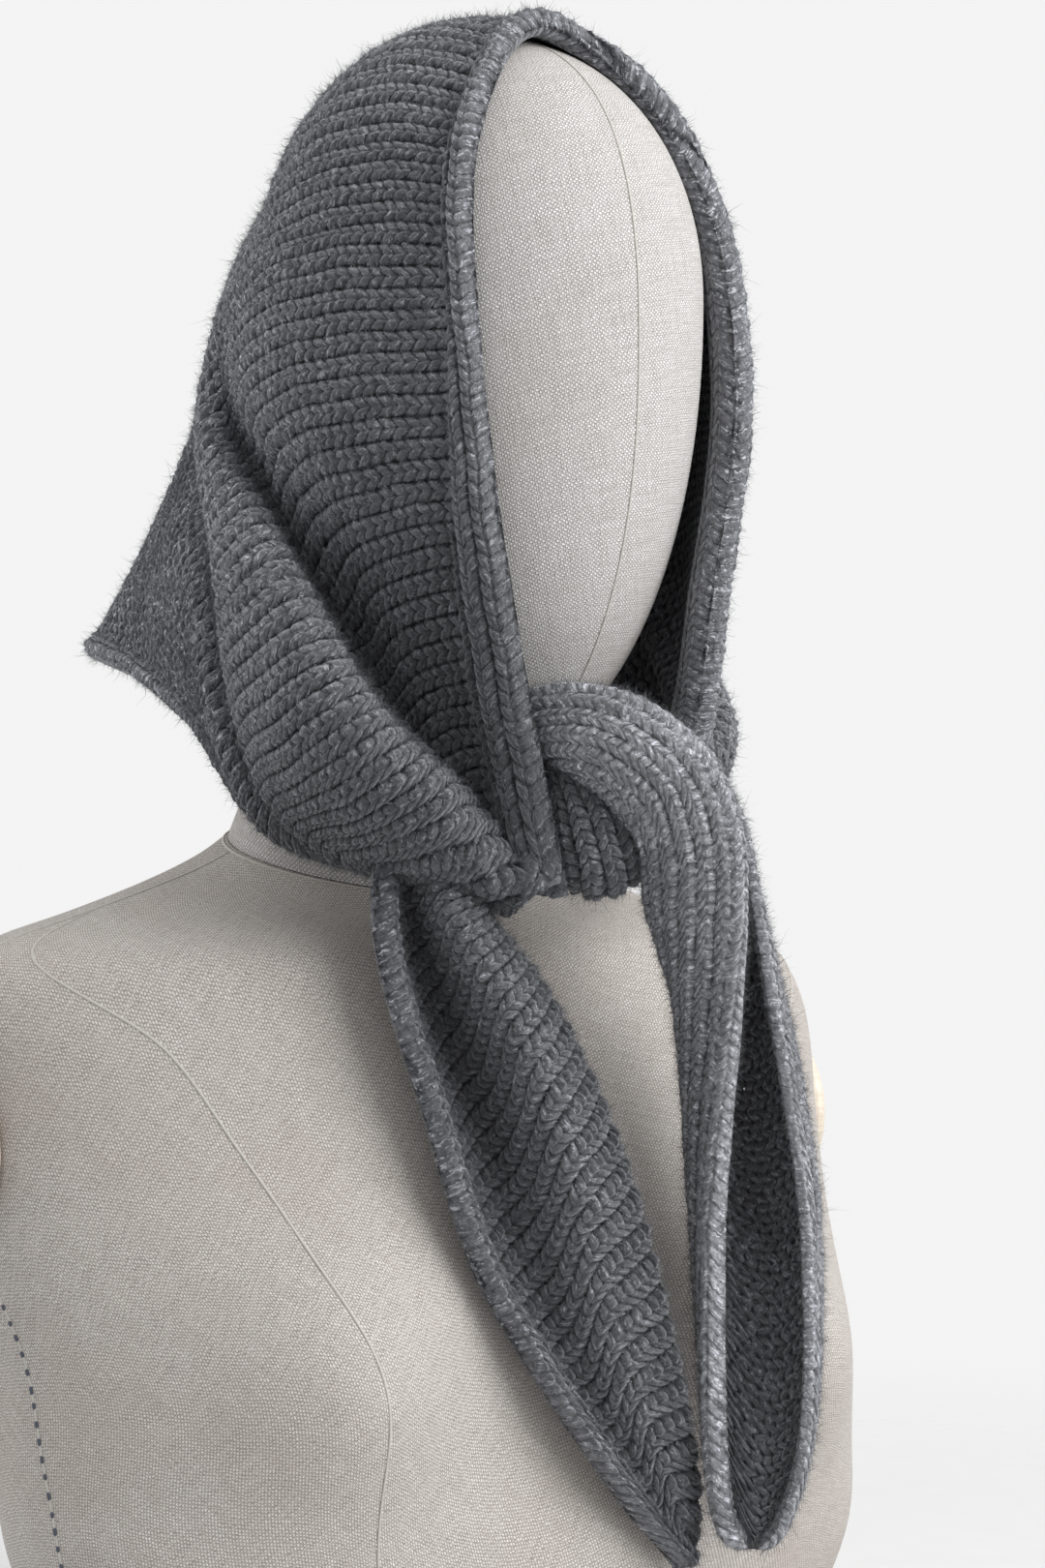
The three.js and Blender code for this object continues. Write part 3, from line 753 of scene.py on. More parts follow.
@dataclass(frozen=True)
class LinenFinish:
    """Natural linen in a coarse plain weave, with pale crossings, brown slubs and painted shade between the
    threads.
    """

    name: str = "natural_linen"
    tint: tuple = (1.0, 1.0, 1.0, 1)
    pitch: float = 0.00088
    weft: tuple = (0.86, 0.85, 0.84, 1)
    weft_dull: tuple = (0.70, 0.68, 0.66, 1)
    warp: tuple = (0.54, 0.515, 0.495, 1)
    warp_dull: tuple = (0.40, 0.375, 0.355, 1)
    slub: tuple = (0.34, 0.25, 0.18, 1)
    # painted shade in the hollows between the threads
    gap_shade: tuple = (0.17, 0.15, 0.135, 1)

    def make(self) -> bpy.types.Material:
        """Makes the material.

        Returns:
            The material.
        """
        s = Shader(self.name)
        weave = s.uv("Weave")
        split = s.node("SeparateXYZ", {0: weave}, 0)
        turns = math.pi / self.pitch
        bend = s.math("MULTIPLY", s.math("SUBTRACT", s.noise(weave, 45.0, 2.0), 0.5), 5.0)
        jitter = s.math("MULTIPLY", s.math("SUBTRACT", s.noise(weave, 520.0, 1.0), 0.5), 4.2)
        bend = s.math("ADD", bend, jitter)
        across = s.math("ADD", s.math("MULTIPLY", split, turns), bend)
        up = s.math("ADD", s.math("MULTIPLY", split.node.outputs[1], turns), bend)
        wave_x, wave_y = s.math("SINE", across), s.math("SINE", up)
        over = s.between(s.math("MULTIPLY", wave_x, wave_y), -0.18, 0.18)
        hollow = s.math("MULTIPLY", s.math("ABSOLUTE", wave_x), s.math("ABSOLUTE", wave_y))
        height = s.between(hollow, 0.0, 0.75)
        threads_up = s.noise(s.scaled(weave, (1150.0, 50.0, 1.0)), 1.0, 2.0, 0.6)
        threads_across = s.noise(s.scaled(weave, (50.0, 1150.0, 1.0)), 1.0, 2.0, 0.6)
        weft = s.mix(s.between(threads_across, 0.38, 0.62), self.weft_dull, self.weft)
        weft = s.mix(s.between(threads_across, 0.70, 0.80, 0.0, 0.6), weft, self.slub)
        warp = s.mix(s.between(threads_up, 0.38, 0.62), self.warp_dull, self.warp)
        warp = s.mix(s.between(threads_up, 0.68, 0.78, 0.0, 0.6), warp, self.slub)
        colour = s.mix(over, warp, weft)
        # painted shade in the hollows between the threads
        colour = s.mix(s.between(hollow, 0.0, 0.30, 0.70, 0.0), colour, self.gap_shade)
        cloud = s.noise(weave, 11.0, 3.0)
        colour = s.mix(s.between(cloud, 0.40, 0.75, 0.0, 0.14), colour, self.slub)
        colour = s.tinted(colour, self.tint)
        values = {"Base Color": colour, "Roughness": 0.9, "Specular IOR Level": 0.2}
        return s.finish({**values, "Normal": s.bump(height, 0.00022, 0.7)})


@dataclass(frozen=True)
class WoodFinish:
    """Pale lacquered beech with a fine straight grain."""

    name: str = "pale_beech"
    light: tuple = (0.68, 0.61, 0.51, 1)
    dark: tuple = (0.58, 0.50, 0.40, 1)
    fleck: tuple = (0.42, 0.33, 0.23, 1)

    def make(self) -> bpy.types.Material:
        """Makes the material.

        Returns:
            The material.
        """
        s = Shader(self.name)
        where = s.where()
        grain = s.noise(s.scaled(where, (30.0, 420.0, 420.0)), 1.0, 4.0, 0.6)
        flecks = s.noise(s.scaled(where, (180.0, 1500.0, 1500.0)), 1.0, 1.0)
        colour = s.mix(s.between(grain, 0.3, 0.7), self.light, self.dark)
        colour = s.mix(s.between(flecks, 0.62, 0.75, 0.0, 0.4), colour, self.fleck)
        normal = s.bump(grain, 0.0002, 0.4)
        return s.finish({"Base Color": colour, "Roughness": 0.38, "Coat Weight": 0.25, "Normal": normal})


@dataclass(frozen=True)
class ThreadFinish:
    """Plain sewing thread."""

    name: str
    colour: tuple

    def make(self) -> bpy.types.Material:
        """Makes the material.

        Returns:
            The material.
        """
        s = Shader(self.name)
        twist = s.noise(s.where(), 2500.0, 1.0)
        darker = tuple(0.6 * value for value in self.colour[:3]) + (1,)
        colour = s.mix(twist, darker, self.colour)
        return s.finish({"Base Color": colour, "Roughness": 0.8, "Normal": s.bump(twist, 0.0002, 0.5)})


class Wardrobe:
    """The materials, made once."""

    def __init__(self) -> None:
        """Makes each material."""
        self.knit = YarnFinish(Face.KNIT).make()
        self.purl = YarnFinish(Face.PURL).make()
        # felted stitches in paler colours, which are partly painted light; its deep colour is painted shade
        # in the grooves
        self.felted_and_lit = YarnFinish(
            Face.KNIT,
            "felted_lit_yarn",
            felting=0.85,
            deep=(0.022, 0.022, 0.025, 1),
            dark=(0.060, 0.061, 0.067, 1),
            mid=(0.160, 0.163, 0.176, 1),
            pale=(0.300, 0.306, 0.328, 1),
        ).make()
        self.fuzz = FuzzFinish().make()
        self.linen = LinenFinish(tint=(0.90, 0.905, 0.91, 1)).make()
        # painted shade: a darker, warmer copy of the linen for the torso, which is less lit than the head
        self.shaded_linen = LinenFinish("shaded_linen", (0.83, 0.807, 0.783, 1)).make()
        self.wood = WoodFinish().make()
        self.basting = ThreadFinish("dark_basting", (0.09, 0.10, 0.13, 1)).make()
        self.seam = ThreadFinish("linen_seam", (0.60, 0.57, 0.53, 1)).make()


def finish_piece(piece: bpy.types.Object, slot: Slot, materials: Sequence, *nodes: str) -> None:
    """Gives a piece its materials and says what it rides on and stands for.

    Args:
        piece: The piece.
        slot: A material slot; not used.
        materials: Its materials.
        nodes: The nodes that it stands for.
    """
    for material in materials:
        piece.data.materials.append(material)
    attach(piece, "root")
    if nodes:
        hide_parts(*nodes)


class Held(Enum):
    """How a cloth is held."""

    DRAPED = "draped"
    HUNG = "hung"
    GATHERED = "gathered"


@dataclass(frozen=True)
class Cut:
    """The flat cut of a stretch of cloth."""

    node: str
    flat: tuple[float, float]
    area: float
    held: Held
    under: str
    felted: bool = False  # whether handling has felted its stitches; such cloth also gets paler yarn colours, which are partly painted light

    def dress(self, cloth: bpy.types.Object, fuzz: bpy.types.Object, wardrobe: Wardrobe) -> None:
        """Dresses a cloth and its fuzz.

        Args:
            cloth: The cloth, which stands for the node.
            fuzz: Its fuzz.
            wardrobe: The materials.
        """
        knit = wardrobe.felted_and_lit if self.felted else wardrobe.knit
        finish_piece(cloth, Slot.KNIT, [knit, wardrobe.purl], self.node)
        finish_piece(fuzz, Slot.KNIT, [wardrobe.fuzz])


class Knitting:
    """Something knitted, whose pieces are a cloth and its fuzz for each of its cuts."""

    cuts: tuple[Cut, ...]

    def dress(self, pieces: Sequence[bpy.types.Object], wardrobe: Wardrobe) -> None:
        for cut, cloth, fuzz in zip(self.cuts, pieces[::2], pieces[1::2]):
            cut.dress(cloth, fuzz, wardrobe)


# ---- Fuzz --------------------------------------------------------------------------


@dataclass(frozen=True)
class Fuzz:
    """Brushed fibres on a face of the cloth: a short dense nap and longer curved strays."""

    nap_length: float = 0.0029
    stray_length: float = 0.0046
    width: float = 0.00013
    spread: float = 0.95
    rooted: float = 0.0005  # how deep in the yarn, and how far aside, a fibre starts
    longest: float = 0.0075
    nap_share: int = 6  # straight fibres of the nap for each stray
    in_grooves: float = 0.3  # how thick the fibres stand in the grooves, against 1.3 on the tops
    length_skew: float = -0.1  # the mean and the spread of the lengths' logarithm
    length_spread: float = 0.40
    bend: float = 0.3  # how far a stray's tip wanders, as a share of its length
    seed: int = 7

    def build(
        self, name: str, face: np.ndarray, outward: np.ndarray, rise: np.ndarray, count: int
    ) -> bpy.types.Object:
        """Makes the fibres as one mesh.

        Args:
            name: The piece's name.
            face: The grid of points that they stand on.
            outward: The face's normals.
            rise: The height of the stitches; the fibres stand thicker on the tops.
            count: How many strays there are.

        Returns:
            The piece.
        """
        dice = np.random.default_rng(self.seed)
        steps_u = np.linalg.norm(np.gradient(face, axis=0), axis=2)
        steps_v = np.linalg.norm(np.gradient(face, axis=1), axis=2)
        weight = (steps_u * steps_v * (self.in_grooves + rise)).ravel()
        groups, first = [], 0
        points = []
        kinds = (count, self.stray_length, True), (count * self.nap_share, self.nap_length, False)
        for many, length, curved in kinds:
            chosen = dice.choice(weight.size, many, p=weight / weight.sum())
            root, normal = face.reshape(-1, 3)[chosen], outward.reshape(-1, 3)[chosen]
            stray = dice.normal(size=(many, 3))
            stray -= (stray * normal).sum(1, keepdims=True) * normal
            root = root + stray * self.rooted - normal * self.rooted
            lean = normal + stray * self.spread
            lean /= np.linalg.norm(lean, axis=1, keepdims=True)
            lengths = length * dice.lognormal(self.length_skew, self.length_spread, size=(many, 1))
            lean *= np.minimum(lengths, self.longest)
            wide = np.cross(lean, dice.normal(size=(many, 3)))
            wide *= self.width / 2 / np.linalg.norm(wide, axis=1, keepdims=True)
            if not curved:
                points.append(np.stack([root - wide, root + wide, root + lean], axis=1).reshape(-1, 3))
                groups.append(first + 3 * np.arange(many)[:, None] + [0, 1, 2])
                continue
            middle = root + lean * 0.5
            bend = np.linalg.norm(lean, axis=1, keepdims=True) * dice.normal(size=(many, 3)) * self.bend
            tip = middle + lean * 0.4 + bend
            fibre = [root - wide, root + wide, middle + wide, middle - wide, tip]
            points.append(np.stack(fibre, axis=1).reshape(-1, 3))
            number = 5 * np.arange(many)[:, None]
            groups += [number + [0, 1, 2, 3], number + [3, 2, 4]]
            first = 5 * many
        return mesh_piece(name, np.concatenate(points), groups)


# ---- The hood ----------------------------------------------------------------------


# Distances run from the crown by the temple, the cheek and the jaw to the knot.
STATIONS = (0, 0.080, 0.160, 0.254, 0.335)
BACKS = (0, .15, .29, .43, .6, .79, 1)  # shares of the way from the front edge to the hem
RIGHT_ARCHES = (  # millimetres: a row for each share back, a point for each station
    ((0, -42, 279), (-49, -67, 230), (-53, -74, 155), (-42, -80, 60), (-26, -87, -30)),
    ((0, 14, 278), (-62, -22, 229), (-80, -30, 150), (-57, -53, 52), (-35, -73, -30)),
    ((-2, 62, 250), (-66, 28, 217), (-88, 16, 140), (-73, -37, 38), (-49, -72, -30)),
    ((-8, 97, 226), (-61, 72, 191), (-84, 54, 120), (-93, -16, 22), (-61, -60, -31)),
    ((-18, 120, 174), (-57, 98, 148), (-84, 72, 90), (-92, 12, 6), (-68, -42, -31)),
    ((-36, 143, 110), (-62, 121, 97), (-82, 74, 54), (-86, 18, -10), (-61, -31, -31)),
    ((-58, 179, 49), (-74, 120, 39), (-80, 68, 20), (-72, 20, -15), (-45, -36, -31)),
)
LEFT_ARCHES = (  # the same, without the crown
    ((50, -62, 228), (61, -73, 152), (47.5, -74.5, 62), (41, -72, 4)),
    ((62, -22, 229), (80, -28, 150), (60, -48, 54), (46, -62, -2)),
    ((66, 28, 217), (88, 18, 140), (77, -40, 40), (52, -56, -8)),
    ((61, 72, 190), (86, 58, 118), (92, -12, 24), (58, -46, -16)),
    ((50, 100, 146), (86, 76, 82), (92, 16, 8), (61, -35, -22)),
    ((26, 130, 86), (80, 84, 40), (86, 22, -6), (58, -26, -26)),
    ((4, 146, 28), (70, 86, 8), (76, 24, -10), (50, -20, -24)),
)
HOOD_FOLDS = (  # distance run and rise in millimetres, then share back and half width
    (
        (-330, 0, .17, .11), (-290, -9, .22, .11), (-250, -16, .28, .11), (-200, -19, .33, .1),
        (-150, -11, .4, .095), (-90, 0, .45, .09),
    ),
    (
        (-336, 0, .48, .2), (-290, 4, .44, .14), (-230, 6, .45, .11), (-150, 4, .52, .1), (-90, 0, .55, .1),
    ),
    (
        (-280, 0, .78, .14), (-220, -4, .7, .13), (-150, -10, .68, .09), (-90, -6, .7, .09),
        (-30, 0, .72, .09),
    ),
    (
        (60, 0, .46, .1), (120, -5, .43, .1), (200, -12, .36, .09), (280, -10, .25, .1),
        (336, -3, .18, .14),
    ),
    (
        (30, 0, .72, .09), (110, -8, .7, .09), (200, -8, .66, .1), (280, 0, .75, .12),
    ),
)
# Run, depth, rise and lean in millimetres, then back and width of the valley and of the roll.
HOOD_CREASES = (
    (  # the long roll from the back of the head down to the knot
        (-333, 0, 0, 0, .15, .035, .42, .14), (-312, 6, 5, 13, .2, .035, .37, .12),
        (-285, 10, 7, 21, .255, .04, .395, .11), (-250, 13, 9, 29, .3, .042, .42, .1),
        (-215, 13, 9, 33, .335, .042, .44, .09), (-180, 11, 7, 30, .38, .042, .475, .085),
        (-145, 8, 4, 18, .43, .042, .515, .075), (-100, 0, 0, 0, .47, .042, .55, .07),
    ),
    (  # the hollow behind it, ahead of the point at the back
        (-300, 0, 0, 0, .76, .06, .86, .06), (-250, 10, 2, 0, .67, .06, .8, .06),
        (-200, 18, 3, 0, .61, .06, .74, .06), (-150, 17, 3, 0, .61, .055, .72, .06),
        (-100, 7, 1, 0, .65, .05, .74, .06), (-55, 0, 0, 0, .7, .05, .76, .06),
    ),
    (  # the softer crease on the other side
        (90, 0, 0, 0, .44, .045, .52, .07), (150, 4, 4, 3, .4, .045, .47, .08),
        (220, 8, 7, 6, .34, .045, .42, .09), (280, 6, 5, 4, .27, .045, .38, .1),
        (328, 0, 0, 0, .2, .045, .34, .12),
    ),
)


def bell(distance: np.ndarray, width: np.ndarray | float) -> np.ndarray:
    """A rise and fall from 0 to 1 and back, about as wide on each side as width."""
    return np.exp(-((distance / width) ** 2))


def rows_along(rows: Sequence, sizes: int, run: np.ndarray) -> np.ndarray:
    """A crease's table worked out along the run.

    Args:
        rows: Rows that start with the distance run.
        sizes: How many columns are lengths; past the table's ends they are 0.
        run: The distances to work out.

    Returns:
        An array for each of the other columns.
    """
    table = metres(rows, sizes)
    found = curve_through(table[:, 0], table[:, 1:], run).T
    found[: sizes - 1] *= (run > table[0, 0]) & (run < table[-1, 0])
    return found


def fold_rise(rows: Sequence, back: np.ndarray, run: np.ndarray) -> np.ndarray:
    """How far one fold lifts the cloth over a grid of shares back and distances run."""
    rise, centre, wide = rows_along(rows, 2, run)
    return rise * bell(back[:, None] - centre, wide)


@dataclass
class HeadForm:
    """The egg of the head that the cloth rests on."""

    half_width: float = 0.0775
    front: float = 0.092
    behind: float = 0.086
    top: float = 0.2815
    widest: float = 0.180
    chin: float = 0.008
    power: float = 2.08

    def push_out(self, points: np.ndarray) -> np.ndarray:
        """Moves points out to rest on the head where they would enter it.

        Args:
            points: Points in the frame of the body tables.

        Returns:
            The points.
        """
        x, y, z = points[..., 0], points[..., 1], points[..., 2] - self.widest
        up = z / np.where(z > 0, self.top - self.widest, self.widest - self.chin)
        out = np.hypot(x / self.half_width, y / np.where(y < 0, self.front, self.behind))
        level = (out**self.power + np.abs(up) ** self.power) ** (1 / self.power)
        scale = np.maximum(1, (1 + LINING_GAP / self.half_width) / level)
        return np.stack([x * scale, y * scale, self.widest + z * scale], axis=-1)


@dataclass
class Hood(Knitting):
    """The cloth over the head: two halves that join along the crown."""

    head: HeadForm
    right_steps: int = 312
    left_steps: int = 208
    back_breaks: tuple = ((0.012, 12), (0.04, 14), (0.97, 238), (1.0, 20))
    layer_step: int = 4
    wale_climb: float = 0.028  # how much nearer the crown a wale lies at the back of the head
    wale_spread: float = 1.03
    cord_growth: float = 0.0085
    left_cord_growth: float = 0.0095
    gather_length: float = 0.036
    gather_share: float = 0.62
    gather_drop: float = 0.010
    gather_back: float = 0.25
    gather_slide: float = 0.008
    gather_rolled: float = 0.5  # how much a cord's roll grows where it widens
    hem_width: float = 0.0095
    hem_rise: float = 0.6  # height of the hem's roll as a share of the front edge's
    hem_round: float = 0.0034
    right_tuck: float = 0.3  # how far each wing's roll turns under as it widens
    left_tuck: float = 0.8
    roll_steepness: float = 0.5  # width of a roll's front as a share of its back
    spreads: tuple = ((-0.13, -0.15, 1.2), (0.03, 0.08, 1.0))  # where each cord starts to widen, and how
    # Painted light and shade multiplied into the yarn's colour on the near half: darker at the front edge,
    # lighter towards the back, darker down the wing to the knot; the far half gets an even painted light,
    # and the cord a painted highlight.
    crown_light: float = 1.30
    front_light: float = 0.74
    back_light: float = 0.64  # how much more painted light the back gets
    low_shade: float = 0.74  # how much painted shade falls down the wing to the knot
    left_light: float = 1.15
    cord_highlight: float = 0.22  # how much painted highlight the cord gets
    fibres: tuple = (13500, 8000)
    cuts: tuple = (
        Cut("hood", (0.335, 0.400), 0.098, Held.DRAPED, "head"),
        Cut("hood", (0.335, 0.400), 0.090, Held.DRAPED, "head"),
    )

    def build(self) -> list[bpy.types.Object]:
        """Makes both halves and their fuzz.

        Returns:
            Each half with its fuzz after it.
        """
        end = STATIONS[-1]
        back = spaced(self.back_breaks)
        run = np.concatenate([
            np.linspace(-end, 0, self.right_steps + 1),
            np.linspace(0, end, self.left_steps + 1)[1:],
        ])
        face, lining, cloth, purl = self._cloth(back, run)
        outward, height = normals_of(face, -1), cloth.height()
        # painted light and shade, with a painted highlight on the cord
        tone_and_light = self._painted_light(back, run) * (1 + self.cord_highlight * cloth.share)
        crown = self.right_steps
        pieces = []
        for name, part, flat_ends, count in (
            ("hood_right", slice(None, crown + 1), (False, True), self.fibres[0]),
            ("hood_left", slice(crown, None), (True, False), self.fibres[1]),
        ):
            stitches = Cloth(cloth.plain[:, part], cloth.cord[:, part], cloth.share[:, part])
            shown, inside = place(face[:, part]), place(lining[:, part])
            layers = name, shown, inside, stitches, purl[:, part]
            half = Shell(*layers, self.layer_step, True, flat_ends, tone_and_light=tone_and_light[:, part])
            pieces.append(half.build())
            pieces.append(Fuzz().build(name + "_fuzz", shown, outward[:, part], height[:, part], count))
        return pieces

    def _cloth(self, back: np.ndarray, run: np.ndarray) -> tuple[np.ndarray, np.ndarray, Cloth, np.ndarray]:
        """Shapes the whole hood.

        Args:
            back: Shares of the way back from the front edge, one for each row.
            run: Distances from the crown, one for each column.

        Returns:
            The knit face, the lining face, the stitches and the places on the purl side.
        """
        arches = np.concatenate([metres(RIGHT_ARCHES, 3)[:, ::-1], metres(LEFT_ARCHES, 3)], axis=1)
        runs = [*(-at for at in STATIONS[:0:-1]), *STATIONS]
        plain = self.head.push_out(surface_through(BACKS, runs, arches.transpose(1, 0, 2), back, run))
        rise = sum(fold_rise(rows, back, run) for rows in HOOD_FOLDS)
        lining = plain + normals_of(plain, -1) * rise[..., None]
        lining = self._gathered(self._creased(lining, back, run), back, run)
        outward = normals_of(lining, -1)
        middle = lining + outward * CLOTH / 2
        inward = arc(middle, 0)
        to_hem = inward[-1:] - inward
        reach = np.abs(run)[None]
        climb = self.wale_climb * np.minimum(back, 0.4)[:, None] * smooth(reach / 0.1)
        across = np.sign(run)[None] * (reach + climb) * self.wale_spread
        spreads = [smooth((run - start) / length) * most for start, length, most in self.spreads]
        spread = np.where(run < 0, *spreads)[None]
        width = CORD_WIDTH + np.where(run < 0, self.cord_growth, self.left_cord_growth)[None] * spread
        cloth = corded(across, inward, to_hem, width)
        roll = roll_rise(inward, width) * (1 + self.gather_rolled * spread)
        full = CLOTH + roll + roll_rise(to_hem, self.hem_width) * self.hem_rise
        full = full + STITCH_DEPTH * cloth.height() - STITCH_SINK
        tucked = (self.left_tuck - self.right_tuck) * np.where(run < 0, 0.0, 1.0)[None] * spread
        under = -(self.right_tuck + tucked) * roll
        edge = rounded(inward, EDGE_ROUND) * rounded(to_hem, self.hem_round)
        knit, purl = both_faces(lining, outward, full, under, edge)
        return knit, purl, cloth, CLOTH_GAUGE.even_places(across, inward)

    def _painted_light(self, back: np.ndarray, run: np.ndarray) -> np.ndarray:
        """Painted light and shade on the yarn: lighter over the back of the head, darker down to the knot.

        Args:
            back: Shares of the way back from the front edge, one for each row.
            run: Distances from the crown, one for each column.

        Returns:
            The painted light and shade at each point.
        """
        behind = self.front_light + self.back_light * smooth((back - 0.12) / 0.30)[:, None]
        low = smooth((-run - 0.14) / 0.14)[None]
        return np.where(run < 0, behind * (self.crown_light - self.low_shade * low), self.left_light)

    def _creased(self, lining: np.ndarray, back: np.ndarray, run: np.ndarray) -> np.ndarray:
        """Adds the tight creases, and the rolls beside them leaning over them.

        Args:
            lining: The face that lies on the head.
            back: Shares of the way back from the front edge, one for each row.
            run: Distances from the crown, one for each column.

        Returns:
            The creased lining.
        """
        outward = normals_of(lining, -1)
        forward, moved = np.array([0.0, -1.0, 0.0]), lining
        for rows in HOOD_CREASES:
            depth, rise, lean, at, wide, crest, crest_wide = rows_along(rows, 4, run)
            valley = bell(back[:, None] - at, wide)
            from_crest = back[:, None] - crest
            roll = bell(from_crest, crest_wide * np.where(from_crest < 0, self.roll_steepness, 1.0))
            moved = moved + outward * (rise * roll - depth * valley)[..., None]
            moved = moved + forward * (lean * roll)[..., None]
        return self.head.push_out(moved)

    def _gathered(self, lining: np.ndarray, back: np.ndarray, run: np.ndarray) -> np.ndarray:
        """Draws both ends in and down where they enter the knot.

        Args:
            lining: The face that lies on the head.
            back: Shares of the way back from the front edge, one for each row.
            run: Distances from the crown, one for each column.

        Returns:
            The gathered lining.
        """
        end = STATIONS[-1]
        drawn = (smooth((np.abs(run) - end + self.gather_length) / self.gather_length) ** 2)[None, :, None]
        ahead = back < self.gather_back
        aside = np.array([math.cos(TURN), math.sin(TURN), 0.0])
        for side, chosen, slid in ((0, run < 0, self.gather_slide), (-1, run > 0, 0.0)):
            middle = lining[ahead, side].mean(axis=0)
            share = drawn * chosen[None, :, None]
            lining = lining + (middle - lining) * self.gather_share * share
            slide = slid * aside
            lining = lining + (slide - np.array([0.0, 0.0, self.gather_drop])) * share
        return lining


# ---- The tails ---------------------------------------------------------------------


RIGHT_TAIL = (  # height, then across and out at the edge, dip, crest, turn and hem, then the climb across
    (-15, -36, 67, -28, 63, -17, 72, -7, 68, -9, 60, 0),
    (-35.5, -38, 80, -28, 66, -15, 86, -4, 79, -8, 66, 0),
    (-59.1, -36, 88, -23.5, 63, -8, 93, 5, 81, -1, 67, .2),
    (-87.3, -29, 91, -15, 62, 5, 96, 19.5, 80, 13.5, 65, .37),
    (-115.6, -20, 90, -4.5, 62, 18, 94, 34, 77, 29, 63, .37),
    (-151, -10, 89, 6, 67, 30.5, 89, 48.5, 74, 44.5, 62, .37),
    (-179.5, 0, 83, 15, 67, 38.5, 80, 57.5, 68, 54.5, 58, .37),
    (-215.4, 20, 75, 32, 65, 48.5, 69, 68, 60, 66.5, 51, .37),
    (-248.7, 41.5, 63, 51, 55, 62, 55, 75.5, 49, 75.5, 42, .37),
    (-271.1, 57, 51, 63, 46, 71, 45.5, 79, 41, 80.5, 36, .37),
    (-284, 68, 43, 71.5, 40, 75, 38.5, 78.5, 36.5, 79, 34, .3),
    (-290.5, 73.5, 40, 74.5, 38.5, 75.7, 37.5, 76.8, 36.5, 77.2, 35, .1),
)


@dataclass
class RightTail(Knitting):
    """The tail to the wearer's right: a long leaf that shows its knit side."""

    along_steps: int = 300
    across_breaks: tuple = ((0.08, 14), (0.95, 92), (1.0, 6))
    places: tuple = (0, 0.27, 0.58, 0.86, 1)  # shares across at which the table gives the section
    layer_step: int = 2
    wale_shear: float = 0.6  # how much steeper than its sections the wales climb
    hem_round: float = 0.0020
    crest_light: float = 0.56  # how much painted highlight the crest gets, and how much painted shade the turn under the hem
    turn_shade: float = 0.42
    # painted light over the leaf, painted shade towards the tip, and a painted highlight on the corded edge
    plain_light: float = 0.74
    tip_shade: float = 0.25
    edge_highlight: float = 1.15
    fibres: int = 7000
    cuts: tuple = (Cut("tail_right", (0.110, 0.275), 0.0205, Held.HUNG, "torso"),)

    def build(self) -> list[bpy.types.Object]:
        """Makes the leaf and its fuzz.

        Returns:
            The cloth and its fuzz.
        """
        table = metres(RIGHT_TAIL, 11)
        z, x, out, climb = table[:, :1], table[:, 1:10:2], table[:, 2:11:2], table[:, 11:]
        net = np.stack([x, -out, z + climb * (x - x[:, :1])], axis=-1).transpose(1, 0, 2)
        knots = ((z[0] - z) / (z[0] - z[-1]))[:, 0]
        down, over = np.linspace(0, 1, self.along_steps + 1), spaced(self.across_breaks)
        sheet = surface_through(knots, self.places, net, down, over)
        outward = normals_of(sheet, 1)
        across, inward = arc(sheet, 0), arc(sheet, 1)
        to_tip = across[-1:] - across
        turn = math.hypot(1, self.wale_shear)
        cloth = corded(across, inward)
        slanted = CLOTH_GAUGE.places(
            (across + self.wale_shear * inward) / turn, (inward - self.wale_shear * across) / turn
        )
        cloth = Cloth(slanted, cloth.cord, cloth.share)
        height = cloth.height()
        full = roll_rise(inward) + STITCH_DEPTH * height - STITCH_SINK
        under = CLOTH * (0.5 * smooth((over - 0.65) / 0.2)[None, :] - 1) + 0 * full
        edge = rounded(inward, EDGE_ROUND) * rounded(inward[:, -1:] - inward, self.hem_round)
        edge = edge * rounded(to_tip, TIP_ROUND)
        face, inside = both_faces(sheet, outward, full, under, edge)
        shown, purl = place(face, True), CLOTH_GAUGE.even_places(across, inward)
        # Painted light and shade: a lit crest, a shaded turn under the hem, shade towards the tip and a
        # painted highlight on the corded edge.
        crest = self.plain_light + self.crest_light * bell(over - 0.56, 0.16)
        crest = crest - self.turn_shade * smooth((over - 0.68) / 0.2)
        fade = (1 - self.tip_shade * smooth((down - 0.6) / 0.3))[:, None]
        tone_and_light = np.maximum(crest * fade, self.edge_highlight * cloth.share)
        layers = "right_tail", shown, place(inside, True), cloth, purl
        leaf = Shell(*layers, self.layer_step, False, tone_and_light=tone_and_light).build()
        fuzz = Fuzz(seed=11).build("right_tail_fuzz", shown, normals_of(shown, 1), height, self.fibres)
        return [leaf, fuzz]


# Rows of a path: across, out, height, half width and half depth in millimetres, then gape and
# twist in degrees.
LEFT_TAIL = (
    (10, 58, 18, 10, 9, 6, -110), (25.5, 72, 20, 13, 11, 6, -110), (37.5, 81, 17.5, 16, 13, 6, -110),
    (52, 87, 11, 18.5, 14, 6, -108), (66.5, 87, -2, 20, 14.5, 6, -100), (75.4, 84, -19.1, 19.8, 14, 8, -86),
    (80, 72, -42.4, 20.8, 15, 10, -70), (88.9, 54, -73.3, 20.2, 16, 17, -46),
    (95.7, 41, -110.8, 22.2, 16.5, 27, -28), (100.3, 37, -154.2, 24.2, 15.5, 37, -18),
    (102, 42, -194.9, 23.4, 13.5, 43, -14), (102.2, 47, -231.3, 21.2, 11.5, 47, -12),
    (101.2, 48, -255.8, 17.2, 9.5, 51, -12), (100, 49, -274, 11.2, 7, 56, -12),
    (99.2, 49, -282.5, 4, 3.5, 60, -12),
)
